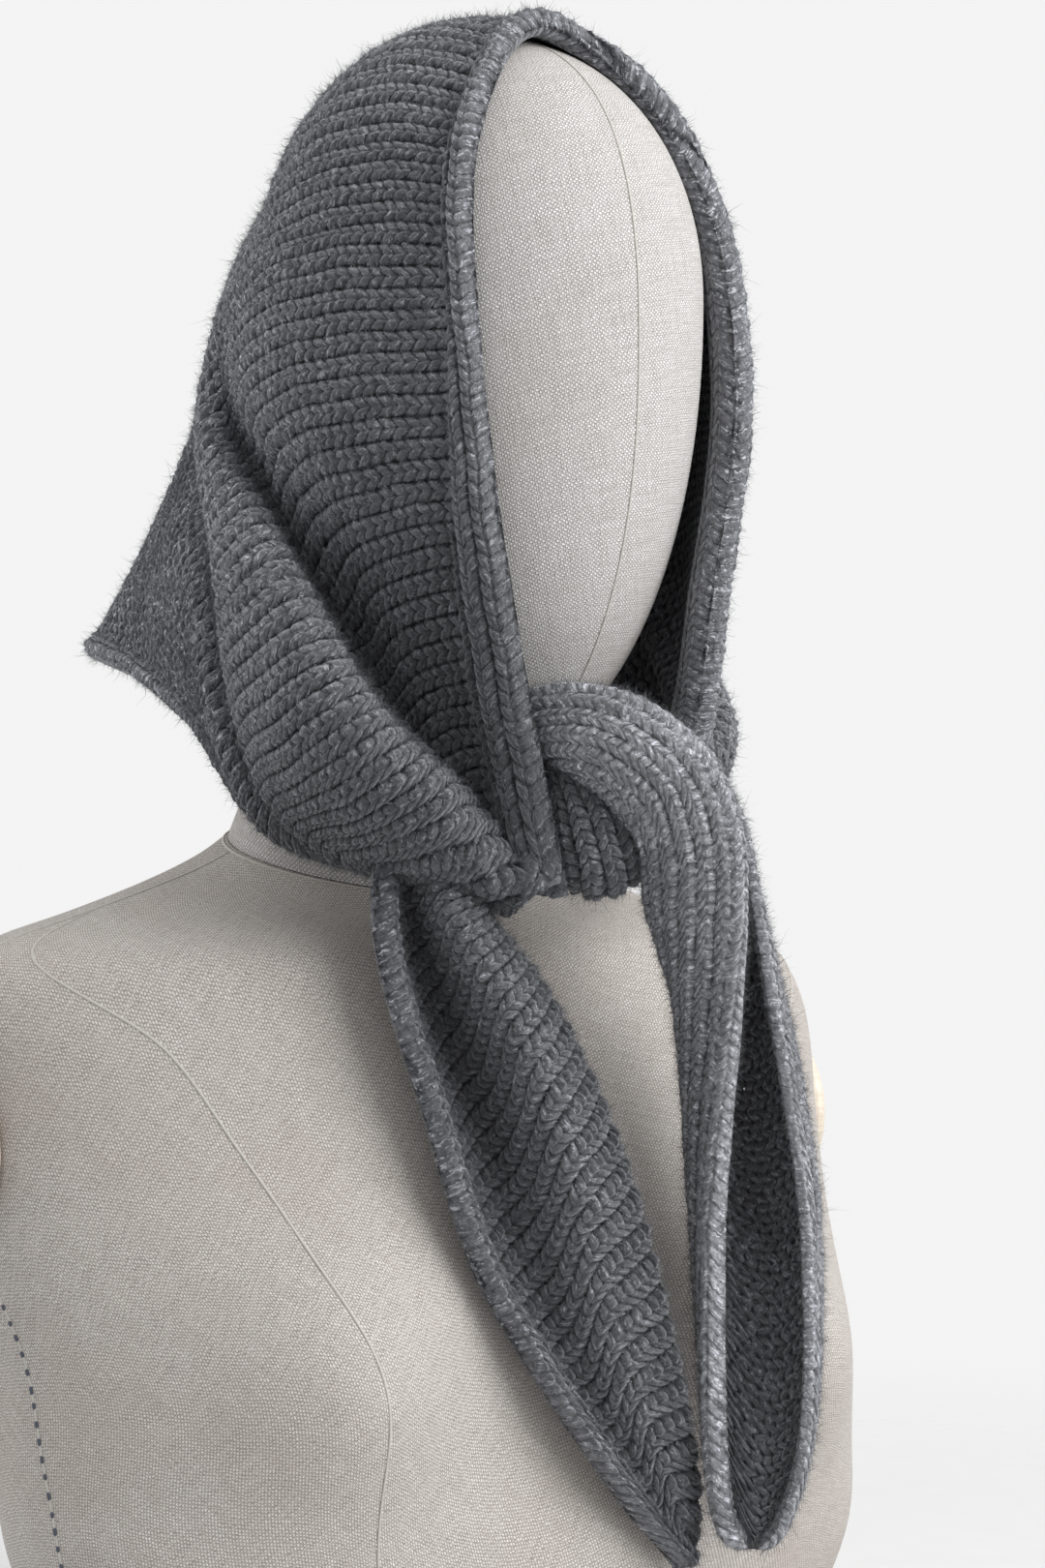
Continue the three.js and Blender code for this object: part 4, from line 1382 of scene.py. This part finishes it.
KNOT_BAND = (
    (27.7, 76.5, 10, 5, 3, 0, 0), (33.2, 79, 0, 9, 4.5, 0, 0), (39.2, 82, -14, 13, 6, 0, 0),
    (42.7, 81, -27, 14, 6.5, 0, 0), (43.7, 73, -35, 14, 6, 0, 0), (43.7, 62, -34, 12, 5, 0, 0),
)
KNOT_CORE = (
    (4, 56, -15, 14, 11, 0, 0), (21, 65, -13, 21.5, 14, 0, 0), (40, 63, -9, 22.5, 15, 0, 0),
    (60, 50, -8, 17, 12, 0, 0), (78, 30, -7, 10, 8, 0, 0),
)


@dataclass
class Path:
    """A table of rows as fine stations with frames that are carried along without twist."""

    rows: Sequence[tuple]
    steps: int

    def __post_init__(self) -> None:
        """Works out the stations and their frames."""
        at = np.linspace(0, len(self.rows) - 1, self.steps + 1)
        table = metres(self.rows, 5) * [1, -1, 1, 1, 1, math.pi / 180, math.pi / 180]
        found = curve_through(np.arange(len(self.rows)), table, at)
        self.points, (self.half, self.deep, self.gape, self.twist) = found[:, :3], found[:, 3:].T
        along = np.gradient(self.points, axis=0)
        along /= np.linalg.norm(along, axis=1, keepdims=True)
        face, faces = np.array([0.0, -1.0, 0.0]), []
        for direction in along:
            face = face - direction * (face @ direction)
            face /= np.linalg.norm(face)
            faces.append(face)
        self.face = np.array(faces)
        self.side = np.cross(along, self.face)

    def ring(self, angles: np.ndarray, grow: np.ndarray | float = 0.0) -> np.ndarray:
        """Points round each station.

        Args:
            angles: The angles from straight out, one row for each station.
            grow: How much larger than the table the section is.

        Returns:
            Points in an array of stations by angles by 3.
        """
        wide = (self.half[:, None] + grow) * np.sin(angles)
        tall = (self.deep[:, None] + grow) * np.cos(angles)
        aside = wide[..., None] * self.side[:, None]
        return self.points[:, None] + aside + tall[..., None] * self.face[:, None]


@dataclass
class LeftTail(Knitting):
    """The tail to the wearer's left: a cupped leaf with its purl side in the hollow."""

    along_steps: int = 290
    around_breaks: tuple = ((0.05, 8), (0.95, 90), (1.0, 7))
    wall: float = 0.004
    bump_depth: float = 0.0024
    cord_share: float = 0.8  # height of its cords as a share of the hood's
    edge_rounds: tuple = (0.0034, 0.0030)
    holes: tuple = (
        (149, 63), (153, 60), (156, 65), (159, 61), (161, 68), (164, 64), (168, 59), (173, 64), (155, 70),
    )
    relief_share: float = 0.6  # how much of their full depth the felted stitches keep
    # painted light over the outer face, and painted shade on the inner face in the hollow
    tone_and_light: float = 2.1
    inside_shade: float = 0.34
    fibres: int = 9000
    cuts: tuple = (Cut("tail_left", (0.115, 0.350), 0.0300, Held.HUNG, "knot_core", True),)

    def build(self) -> list[bpy.types.Object]:
        """Makes the cupped leaf and its fuzz.

        Returns:
            The cloth and its fuzz.
        """
        path = Path(LEFT_TAIL, self.along_steps)
        share = spaced(self.around_breaks)
        angles = (path.gape + path.twist)[:, None] + share * 2 * (math.pi - path.gape[:, None])
        plain = path.ring(angles)
        outward = normals_of(plain, -1)
        across, around = arc(plain, 0), arc(plain, 1)
        other = around[:, -1:] - around
        to_tip = across[-1:] - across
        cloth = corded(across, around, other)
        cloth = Cloth(STRAND_GAUGE.places(around, across), cloth.cord, cloth.share)
        height, purl = cloth.height(), CLOTH_GAUGE.places(across, around)
        full = STITCH_DEPTH * self.relief_share * height - STITCH_SINK * 0.5
        full = full + self.cord_share * roll_rise(around)
        under = -self.wall - self.bump_depth * relief(Face.PURL, purl) + self.bump_depth / 4
        near, far = self.edge_rounds
        edge = rounded(around, near) * rounded(other, far) * rounded(to_tip, TIP_ROUND)
        face, inside = both_faces(plain, outward, full, under, edge)
        shown = place(face, True)
        layers = "left_tail", shown, place(inside, True), cloth, purl
        painted_lights = {"tone_and_light": self.tone_and_light, "inside_shade": self.inside_shade}
        leaf = Shell(*layers, 1, True, holes=self.holes, **painted_lights).build()
        fuzz = Fuzz(seed=13).build("left_tail_fuzz", shown, normals_of(shown, -1), height, self.fibres)
        return [leaf, fuzz]


@dataclass
class Strand(Knitting):
    """A gathered strand of the cloth in the knot."""

    name: str
    rows: Sequence[tuple]
    lobes: int
    lobe_rise: float
    fibres: int
    cuts: tuple
    # painted shade over the knot's strand, multiplied into the yarn's colour
    tone_and_light: float = 0.75
    along_steps: int = 84
    around_steps: int = 120
    end_share: float = 0.25  # how far the ends stay open

    def build(self) -> list[bpy.types.Object]:
        """Makes the strand with its gathers and stitches, and its fuzz.

        Returns:
            The cloth and its fuzz.
        """
        path = Path(self.rows, self.along_steps)
        share = np.linspace(0, 1, self.around_steps + 1)
        angles = np.tile(share * 2 * math.pi, (self.along_steps + 1, 1))
        gathers = self.lobe_rise * (np.cos(angles * self.lobes) - 1)
        plain = path.ring(angles, gathers)
        outward = normals_of(plain, -1)
        outward[:, 0] = outward[:, -1] = (outward[:, 0] + outward[:, -1]) / 2
        along, around = arc(plain, 0), arc(plain, 1)
        girth = np.maximum(around[:, -1:], 1e-6)
        wales = np.round(girth.mean() / CLOTH_GAUGE.wale)
        stitches = CLOTH_GAUGE.places(around / girth * wales * CLOTH_GAUGE.wale, along)
        height = relief(Face.KNIT, stitches)
        height[:, -1] = height[:, 0]
        ends = rounded(along, EDGE_ROUND) * rounded(along[-1:] - along, EDGE_ROUND)
        face = plain + outward * (STITCH_DEPTH * height - STITCH_SINK)[..., None]
        middle = path.points[:, None]
        face = middle + (face - middle) * (self.end_share + (1 - self.end_share) * ends)[..., None]
        shown = place(face, True)
        shown[:, -1] = shown[:, 0]
        rows, columns, _ = shown.shape
        faces = grid_faces(rows, columns, 0, True)
        caps = [np.arange(columns - 1)[None], (np.arange(columns - 1) + (rows - 1) * columns)[None, ::-1]]
        maps = {"Stitch": stitches, "Cord": stitches}
        shades = {"CordShare": 0 * height, "PaintedLight": self.tone_and_light + 0 * height}
        piece = mesh_piece(self.name, shown, [faces, *caps], None, maps, shades)
        join = bmesh.new()
        join.from_mesh(piece.data)
        bmesh.ops.remove_doubles(join, verts=join.verts, dist=1e-7)
        join.to_mesh(piece.data)
        join.free()
        outward = normals_of(shown, -1)
        return [piece, Fuzz(seed=17).build(self.name + "_fuzz", shown, outward, height, self.fibres)]


# ---- The dress form ----------------------------------------------------------------


# Rings of the body: height, half width, front, back and middle in millimetres, then tilt and two roundings.
TORSO = (
    (-27, 74, -11, 108, 50, .252, 2, 2), (-34, 88, -15, 113, 56, .2, 2, 2),
    (-41.5, 110, -19, 118, 62, .13, 2, 2.1), (-50, 138, -23, 122, 67, .07, 2, 2.3),
    (-58, 166, -27, 126, 69, .03, 2, 2.5), (-68, 184, -31, 130, 70, 0, 2, 2.7),
    (-82, 194, -36, 134, 70, 0, 2, 2.9), (-100, 198, -41, 137, 69, 0, 2, 2.9),
    (-130, 198, -47, 140, 67, 0, 2, 2.9), (-168, 195, -52, 142, 60, 0, 2.05, 2.7),
    (-212, 186, -55, 141, 40, 0, 2.15, 2.4), (-252, 184, -59, 138, 28, 0, 2.2, 2.2),
    (-292, 179, -66, 124, 21, 0, 2.2, 2.2), (-337.7, 153, -62, 100, 18, 0, 2.2, 2.2),
)
NECK = (
    (-27, 73.5, -11, 108, 50, .252, 2, 2), (-8, 69, -10, 102, 47, .12, 2, 2),
    (8, 64, -11, 98, 44, .04, 2, 2), (34, 59, -17, 88, 36, 0, 2, 2),
    (64, 55, -24, 76, 26, 0, 2, 2), (96, 50, -30, 64, 17, 0, 2, 2),
)


@dataclass
class LinenForm:
    """The linen-covered head, neck and torso."""

    head: HeadForm
    bust_apart: float = 0.108
    bust_height: float = -0.214
    bust_across: float = 0.050
    bust_tall: float = 0.054
    bust_rise: float = 0.036
    around_steps: int = 128
    egg_steps: int = 73
    pole_gap: float = 0.02  # angle left open at the egg's top and bottom, where a face closes it
    neck_steps: int = 24
    torso_steps: int = 96

    def build(self) -> list[bpy.types.Object]:
        """Makes the linen covers.

        Returns:
            The head's, the neck's and the torso's.
        """
        ahead = math.radians(-90)
        neck = self._body_rings(NECK, self.neck_steps, False, SEAM)
        return [
            self._cover("head_linen", self.egg_rings(), ahead + TURN, math.radians(12)),
            self._cover("neck_linen", neck, ahead, 0.0),
            self._cover("torso_linen", self.torso_rings(), ahead, math.radians(-30)),
        ]

    def angles(self) -> np.ndarray:
        """Angles round a ring, from behind round to behind."""
        return np.linspace(0.5 * math.pi, -1.5 * math.pi, self.around_steps + 1)

    def egg_rings(self) -> np.ndarray:
        """Rings of the head, top to bottom.

        Returns:
            Points in an array of rings by angles by 3.
        """
        head, tops = self.head, np.linspace(self.pole_gap, math.pi - self.pole_gap, self.egg_steps)
        up = np.cos(tops)
        reach = np.where(up > 0, head.top - head.widest, head.widest - head.chin)
        z = head.widest + reach * np.sign(up) * np.abs(up) ** (2 / head.power)
        share = np.sin(tops) ** (2 / head.power)
        turn = self.angles()[None]
        deep = np.where(np.sin(turn) < 0, head.front, head.behind)
        x, y = head.half_width * share[:, None] * np.cos(turn), deep * share[:, None] * np.sin(turn)
        return np.stack([x, y, np.broadcast_to(z[:, None], x.shape)], axis=-1)

    def torso_rings(self) -> np.ndarray:
        """Rings of the torso, top to bottom, cut flat at both armholes.

        Returns:
            Points in an array of rings by angles by 3.
        """
        rings = self._body_rings(TORSO, self.torso_steps, True, 0.0)
        rings[..., 0] = np.clip(rings[..., 0], -ARMHOLE, ARMHOLE)
        return rings

    def _body_rings(self, table: Sequence[tuple], steps: int, with_bust: bool, lift: float) -> np.ndarray:
        """Rings through a table of the body.

        Args:
            table: The table.
            steps: How many steps there are down it.
            with_bust: Whether the bust rises from it.
            lift: How far it is raised.

        Returns:
            Points in an array of rings by angles by 3.
        """
        rows = metres(table, 5)
        found = curve_through(np.arange(len(rows)), rows, np.linspace(0, len(rows) - 1, steps + 1))
        z0, half, front, back, mid, tilt, n_front, n_back = found.T[:, :, None]
        c, s = np.cos(self.angles())[None], np.sin(self.angles())[None]
        power = 2 / np.where(s < 0, n_front, n_back)
        deep = np.where(s < 0, mid - front, back - mid)
        x = half * np.sign(c) * np.abs(c) ** power
        y = mid + deep * np.sign(s) * np.abs(s) ** power
        z = z0 + lift + tilt * (y - mid)
        if with_bust:
            across = (np.abs(x) - self.bust_apart) / self.bust_across
            up = (z - self.bust_height) / self.bust_tall
            y = y - self.bust_rise * np.exp(-(across**2) - up**2) * smooth(-2.5 * s)
        return np.stack([x, y, z], axis=-1)

    def _cover(self, name: str, rings: np.ndarray, seam_angle: float, bias: float) -> bpy.types.Object:
        """A closed cover with its weave laid out from a seam on a bias.

        Args:
            name: The piece's name.
            rings: Rings that run top to bottom.
            seam_angle: Where round the rings the seam is.
            bias: How far the weave is turned from the seam.

        Returns:
            The piece.
        """
        rows, columns, _ = rings.shape
        seam = int(np.argmin(np.abs(self.angles() - seam_angle)))
        around, down = arc(rings, 1, seam), arc(rings, 0)
        rings[:, -1] = rings[:, 0]
        number = np.arange(rows * columns).reshape(rows, columns)
        number[:, -1] = number[:, 0]
        faces = number.ravel()[grid_faces(rows, columns, 0, False)]
        caps = [np.arange(columns - 1)[None, ::-1], (np.arange(columns - 1) + (rows - 1) * columns)[None]]
        c, s = math.cos(bias), math.sin(bias)
        weave = np.stack([c * around + s * down, s * around - c * down], axis=-1)
        return mesh_piece(name, place(rings), [faces, *caps], len(faces), {"Weave": weave})

    def dress(self, pieces: list[bpy.types.Object], wardrobe: Wardrobe) -> None:
        """Args:
            pieces: The covers.
            wardrobe: The materials.
        """
        for piece, node in zip(pieces, ("head", "head", "torso")):
            # the torso gets the darker copy of the linen, painted shade
            linen = wardrobe.shaded_linen if node == "torso" else wardrobe.linen
            finish_piece(piece, Slot.LINEN, [linen], node)


def mirrored(path: Sequence[tuple[float, float]]) -> tuple:
    """A seam's places on the other side of the body."""
    return tuple((share, -180 - angle) for share, angle in path)


SHOULDER_SEAM = ((0.004, -190), (0.10, -188), (0.20, -184), (0.30, -181), (0.42, -180))
PRINCESS_SEAM = (
    (0.20, -184), (0.35, -165), (0.49, -141), (0.625, -129), (0.70, -124), (0.80, -119.5), (0.99, -117),
)
SIDE_SEAM = ((0.60, -174), (0.73, -172), (0.81, -173), (0.90, -172), (0.99, -172))
BACK_SEAM = ((0.004, 88), (0.5, 88), (0.99, 88))
NECK_SEAM = tuple((0.008, angle) for angle in range(88, -271, -20)) + ((0.008, -272),)
FACE_SEAM = ((0.04, -84), (0.2, -85), (0.45, -88), (0.7, -84), (0.96, -82))


@dataclass
class Needlework:
    """The sewn seams of the linen covers, and the dark basting down both sides."""

    form: LinenForm
    welt_half: float = 0.0006
    welt_rise: float = 0.00035
    stitch_long: float = 0.0034
    stitch_gap: float = 0.0030
    stitch_half: float = 0.0008
    stitch_rise: float = 0.0007
    stitch_drift: float = 0.0012
    first_stitch: float = 0.003
    welt_step: float = 0.004
    stitch_step: float = 0.0004
    longest: float = 0.35
    corners: int = 6

    def build(self) -> list[bpy.types.Object]:
        """Makes the sewing.

        Returns:
            The seams as one piece and the basting as another.
        """
        torso, head = self.form.torso_rings(), self.form.egg_rings()
        sewn = [(torso, path) for path in (SHOULDER_SEAM, PRINCESS_SEAM, SIDE_SEAM)]
        sewn += [(torso, mirrored(path)) for path in (SHOULDER_SEAM, PRINCESS_SEAM, SIDE_SEAM)]
        sewn += [(torso, BACK_SEAM), (torso, NECK_SEAM), (head, FACE_SEAM)]
        lines = [self._line(rings, path, self.welt_step) for rings, path in sewn]
        welts = [self._tube(*line, self.welt_half, self.welt_rise) for line in lines]
        stitches = []
        for path in (SIDE_SEAM, mirrored(SIDE_SEAM)):
            points, normals = self._line(torso, path, self.stitch_step)
            at = np.concatenate([[0], np.cumsum(np.linalg.norm(np.diff(points, axis=0), axis=1))])
            pitch = self.stitch_long + self.stitch_gap
            for start in np.arange(self.first_stitch, at[-1] - pitch, pitch):
                start += self.stitch_drift * chance(start * 1e3)
                part = (at >= start) & (at <= start + self.stitch_long)
                line = points[part][::3], normals[part][::3]
                stitches.append(self._tube(*line, self.stitch_half, self.stitch_rise))
        return [self._joined("linen_seams", welts), self._joined("side_basting", stitches)]

    def _line(self, rings: np.ndarray, path: Sequence[tuple[float, float]], step: float) -> tuple:
        """Lays a line along a seam.

        Args:
            rings: The rings of the cover.
            path: Shares down the cover and angles round it in degrees.
            step: About how far apart the points are.

        Returns:
            The points and their normals.
        """
        share, angle = np.array(path, float).T
        steps = int(self.longest / step)
        at = np.linspace(0, len(path) - 1, steps)
        found = curve_through(np.arange(len(path)), np.stack([share, angle], 1), at)
        turns = self.form.angles()
        turned = (turns[0] - np.radians(found[:, 1])) % (2 * math.pi)
        row, column = found[:, 0] * (rings.shape[0] - 1), turned / (turns[0] - turns[1])
        i = np.minimum(row.astype(int), rings.shape[0] - 2)
        j = np.minimum(column.astype(int), rings.shape[1] - 2)
        u, v = (row - i)[:, None], (column - j)[:, None]
        sheets = []
        for grid in (rings, normals_of(rings, 1)):
            top = grid[i, j] * (1 - v) + grid[i, j + 1] * v
            low = grid[i + 1, j] * (1 - v) + grid[i + 1, j + 1] * v
            sheets.append(top * (1 - u) + low * u)
        points, normals = sheets
        out = points - points.mean(axis=0) * [0, 0, 1] - rings.mean(axis=(0, 1)) * [1, 1, 0]
        return points, normals * np.where((normals * out).sum(1, keepdims=True) < 0, -1, 1)

    def _tube(self, points: np.ndarray, normals: np.ndarray, half: float, rise: float) -> np.ndarray:
        """Lays a flat tube along a line on the cover.

        Args:
            points: The line's points.
            normals: Their normals.
            half: Half the width of the tube.
            rise: How high it stands.

        Returns:
            Points in an array of rings by corners by 3.
        """
        along = np.gradient(points, axis=0)
        aside = np.cross(along, normals)
        aside /= np.linalg.norm(aside, axis=1, keepdims=True)
        turn = np.arange(self.corners) * 2 * math.pi / self.corners
        ends = np.sqrt(np.clip(1 - np.linspace(-1, 1, len(points)) ** 8, 0.05, 1))[:, None, None]
        wide, tall = half * np.cos(turn)[None, :, None] * ends, rise * np.sin(turn)[None, :, None] * ends
        return points[:, None] + aside[:, None] * wide + normals[:, None] * (tall + 0.3 * rise)

    def _joined(self, name: str, tubes: Sequence[np.ndarray]) -> bpy.types.Object:
        """Joins tubes into one piece with closed ends.

        Args:
            name: The piece's name.
            tubes: The tubes.

        Returns:
            The piece.
        """
        faces, ends, first = [], [], 0
        for tube in tubes:
            number = first + np.arange(len(tube) * self.corners).reshape(-1, self.corners)
            after = np.roll(number, -1, axis=1)
            faces.append(np.stack([number[:-1], after[:-1], after[1:], number[1:]], axis=-1).reshape(-1, 4))
            ends += [number[0][::-1], number[-1]]
            first += number.size
        points = place(np.concatenate([tube.reshape(-1, 3) for tube in tubes]))
        return mesh_piece(name, points, [np.concatenate(faces), np.array(ends)])

    def dress(self, pieces: list[bpy.types.Object], wardrobe: Wardrobe) -> None:
        """Gives the seams linen thread and the basting dark thread."""
        finish_piece(pieces[0], Slot.LINEN, [wardrobe.seam])
        finish_piece(pieces[1], Slot.LINEN, [wardrobe.basting])


@dataclass
class Woodwork:
    """The beech shoulder caps and base, which keep their solids."""

    nodes: tuple = ("shoulder_cap_right", "shoulder_cap_left", "base")

    def dress(self, wardrobe: Wardrobe) -> None:
        """Gives each its beech finish.

        Args:
            wardrobe: The materials.
        """
        for name in self.nodes:
            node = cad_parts[name]
            node.data.materials.clear()
            node.data.materials.append(wardrobe.wood)


# ---- Studio ------------------------------------------------------------------------


@dataclass(frozen=True)
class Lamp:
    """A square soft light, placed to the right of, ahead of and above the point that it lights."""

    name: str
    right: float
    ahead: float
    up: float
    size: float
    power: float


@dataclass
class Studio:
    """The pale floor, soft lights and the camera."""

    distance: float = 1.8
    focal: float = 109.2
    shift: float = 0.0253
    heading: float = TURN
    bright: float = 0.90
    dim: float = 0.52
    floor_radius: float = 1.6
    floor_fade: tuple = (0.30, 1.2)
    aim_above_chin: float = 0.05
    lamps: tuple = (Lamp("bounce", -1.7, 0.6, 0.9, 1.5, 15), Lamp("key", 1.65, -0.95, 1.0, 2.2, 62))

    def build(self) -> None:
        """Makes the camera, the floor, the world and the lights."""
        self._camera()
        self._floor()
        self._world()
        for lamp in self.lamps:
            self._light(lamp)

    def _directions(self) -> tuple[Vector, Vector]:
        """Level directions to the right of the view and ahead along it."""
        right = Vector((math.cos(self.heading), math.sin(self.heading), 0))
        return right, Vector((-right.y, right.x, 0))

    def _camera(self) -> None:
        """A level camera in front of the wearer's right cheek."""
        data = bpy.data.cameras.new("camera")
        data.lens, data.sensor_width, data.shift_x = self.focal, 36, self.shift
        camera = bpy.data.objects.new("camera", data)
        bpy.context.scene.collection.objects.link(camera)
        ahead = self._directions()[1]
        camera.location = Vector((0, -BASE_BEHIND, CHIN_HEIGHT)) - ahead * self.distance
        camera.rotation_euler = (math.pi / 2, 0, self.heading)
        bpy.context.scene.camera = camera

    def _floor(self) -> None:
        """A white floor that fades out far from the form."""
        rings, spokes = 12, 64
        radii = np.linspace(0, self.floor_radius, rings + 1)[1:]
        turn = np.arange(spokes) * 2 * math.pi / spokes
        points = np.array([(r * math.cos(t), r * math.sin(t), -0.0005) for r in radii for t in turn])
        number = np.arange(rings * spokes).reshape(rings, spokes)
        after = np.roll(number, -1, axis=1)
        sides = np.stack([number[:-1], number[1:], after[1:], after[:-1]], axis=-1).reshape(-1, 4)
        floor = mesh_piece("floor", points, [sides, number[0][None]])
        s = Shader("white_floor")
        where = s.where()
        colour = s.mix(s.noise(where, 40.0, 2.0), (0.60, 0.60, 0.60, 1), (0.63, 0.63, 0.63, 1))
        far = s.node("VectorMath", {0: where}, "Value", operation="LENGTH")
        alpha = s.between(far, *self.floor_fade, 1.0, 0.0)
        floor.data.materials.append(s.finish({"Base Color": colour, "Roughness": 0.9, "Alpha": alpha}))

    def _world(self) -> None:
        """A near-white surround, dimmer on the side that the camera stands on."""
        ahead = self._directions()[1]
        world = bpy.data.worlds.new("surround")
        world.use_nodes = True
        nodes, links = world.node_tree.nodes, world.node_tree.links
        kinds = "TexCoord", "VectorMath", "MapRange"
        where, facing, range_of = (nodes.new("ShaderNode" + kind) for kind in kinds)
        facing.operation, range_of.interpolation_type = "DOT_PRODUCT", "SMOOTHSTEP"
        facing.inputs[1].default_value = (ahead + Vector((0, 0, 0.6))).normalized()
        values = {"From Min": -0.7, "From Max": 0.6, "To Min": self.dim, "To Max": self.bright}
        for socket, value in values.items():
            range_of.inputs[socket].default_value = value
        links.new(where.outputs["Generated"], facing.inputs[0])
        links.new(facing.outputs["Value"], range_of.inputs["Value"])
        links.new(range_of.outputs[0], nodes["Background"].inputs["Strength"])
        nodes["Background"].inputs["Color"].default_value = (1.0, 1.0, 1.0, 1)
        bpy.context.scene.world = world
        bpy.context.scene.view_settings.view_transform = "Standard"

    def _light(self, lamp: Lamp) -> None:
        """Makes one light, turned to the aim.

        Args:
            lamp: The light.
        """
        right, ahead = self._directions()
        aim = Vector((0, -BASE_BEHIND, CHIN_HEIGHT + self.aim_above_chin))
        where = aim + right * lamp.right + ahead * lamp.ahead + Vector((0, 0, lamp.up))
        data = bpy.data.lights.new(lamp.name, "AREA")
        data.size, data.energy = lamp.size, lamp.power
        made = bpy.data.objects.new(lamp.name, data)
        bpy.context.scene.collection.objects.link(made)
        made.location = where
        made.rotation_euler = (aim - where).to_track_quat("-Z", "Y").to_euler()


# ---- Making ------------------------------------------------------------------------


def main() -> None:
    """Builds and dresses every sub-assembly."""
    logging.basicConfig(level=logging.INFO, format="%(name)s: %(message)s")
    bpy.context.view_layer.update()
    Studio().build()
    wardrobe = Wardrobe()
    head = HeadForm()
    band_cut = Cut("knot_band", (0.070, 0.060), 0.0028, Held.GATHERED, "torso")
    core_cut = Cut("knot_core", (0.090, 0.075), 0.0060, Held.GATHERED, "torso")
    band = Strand("knot_band_cloth", KNOT_BAND, 3, 0.0008, 750, (band_cut,))
    core = Strand("knot_core_cloth", KNOT_CORE, 2, 0.0006, 700, (core_cut,))
    form = LinenForm(head)
    for maker in (form, Needlework(form), Hood(head), RightTail(), LeftTail(), band, core):
        made = maker.build()
        maker.dress(made, wardrobe)
        for piece in made:
            log.info("%s: %d faces", piece.name, len(piece.data.polygons))
    Woodwork().dress(wardrobe)


if __name__ == "__main__":
    main()
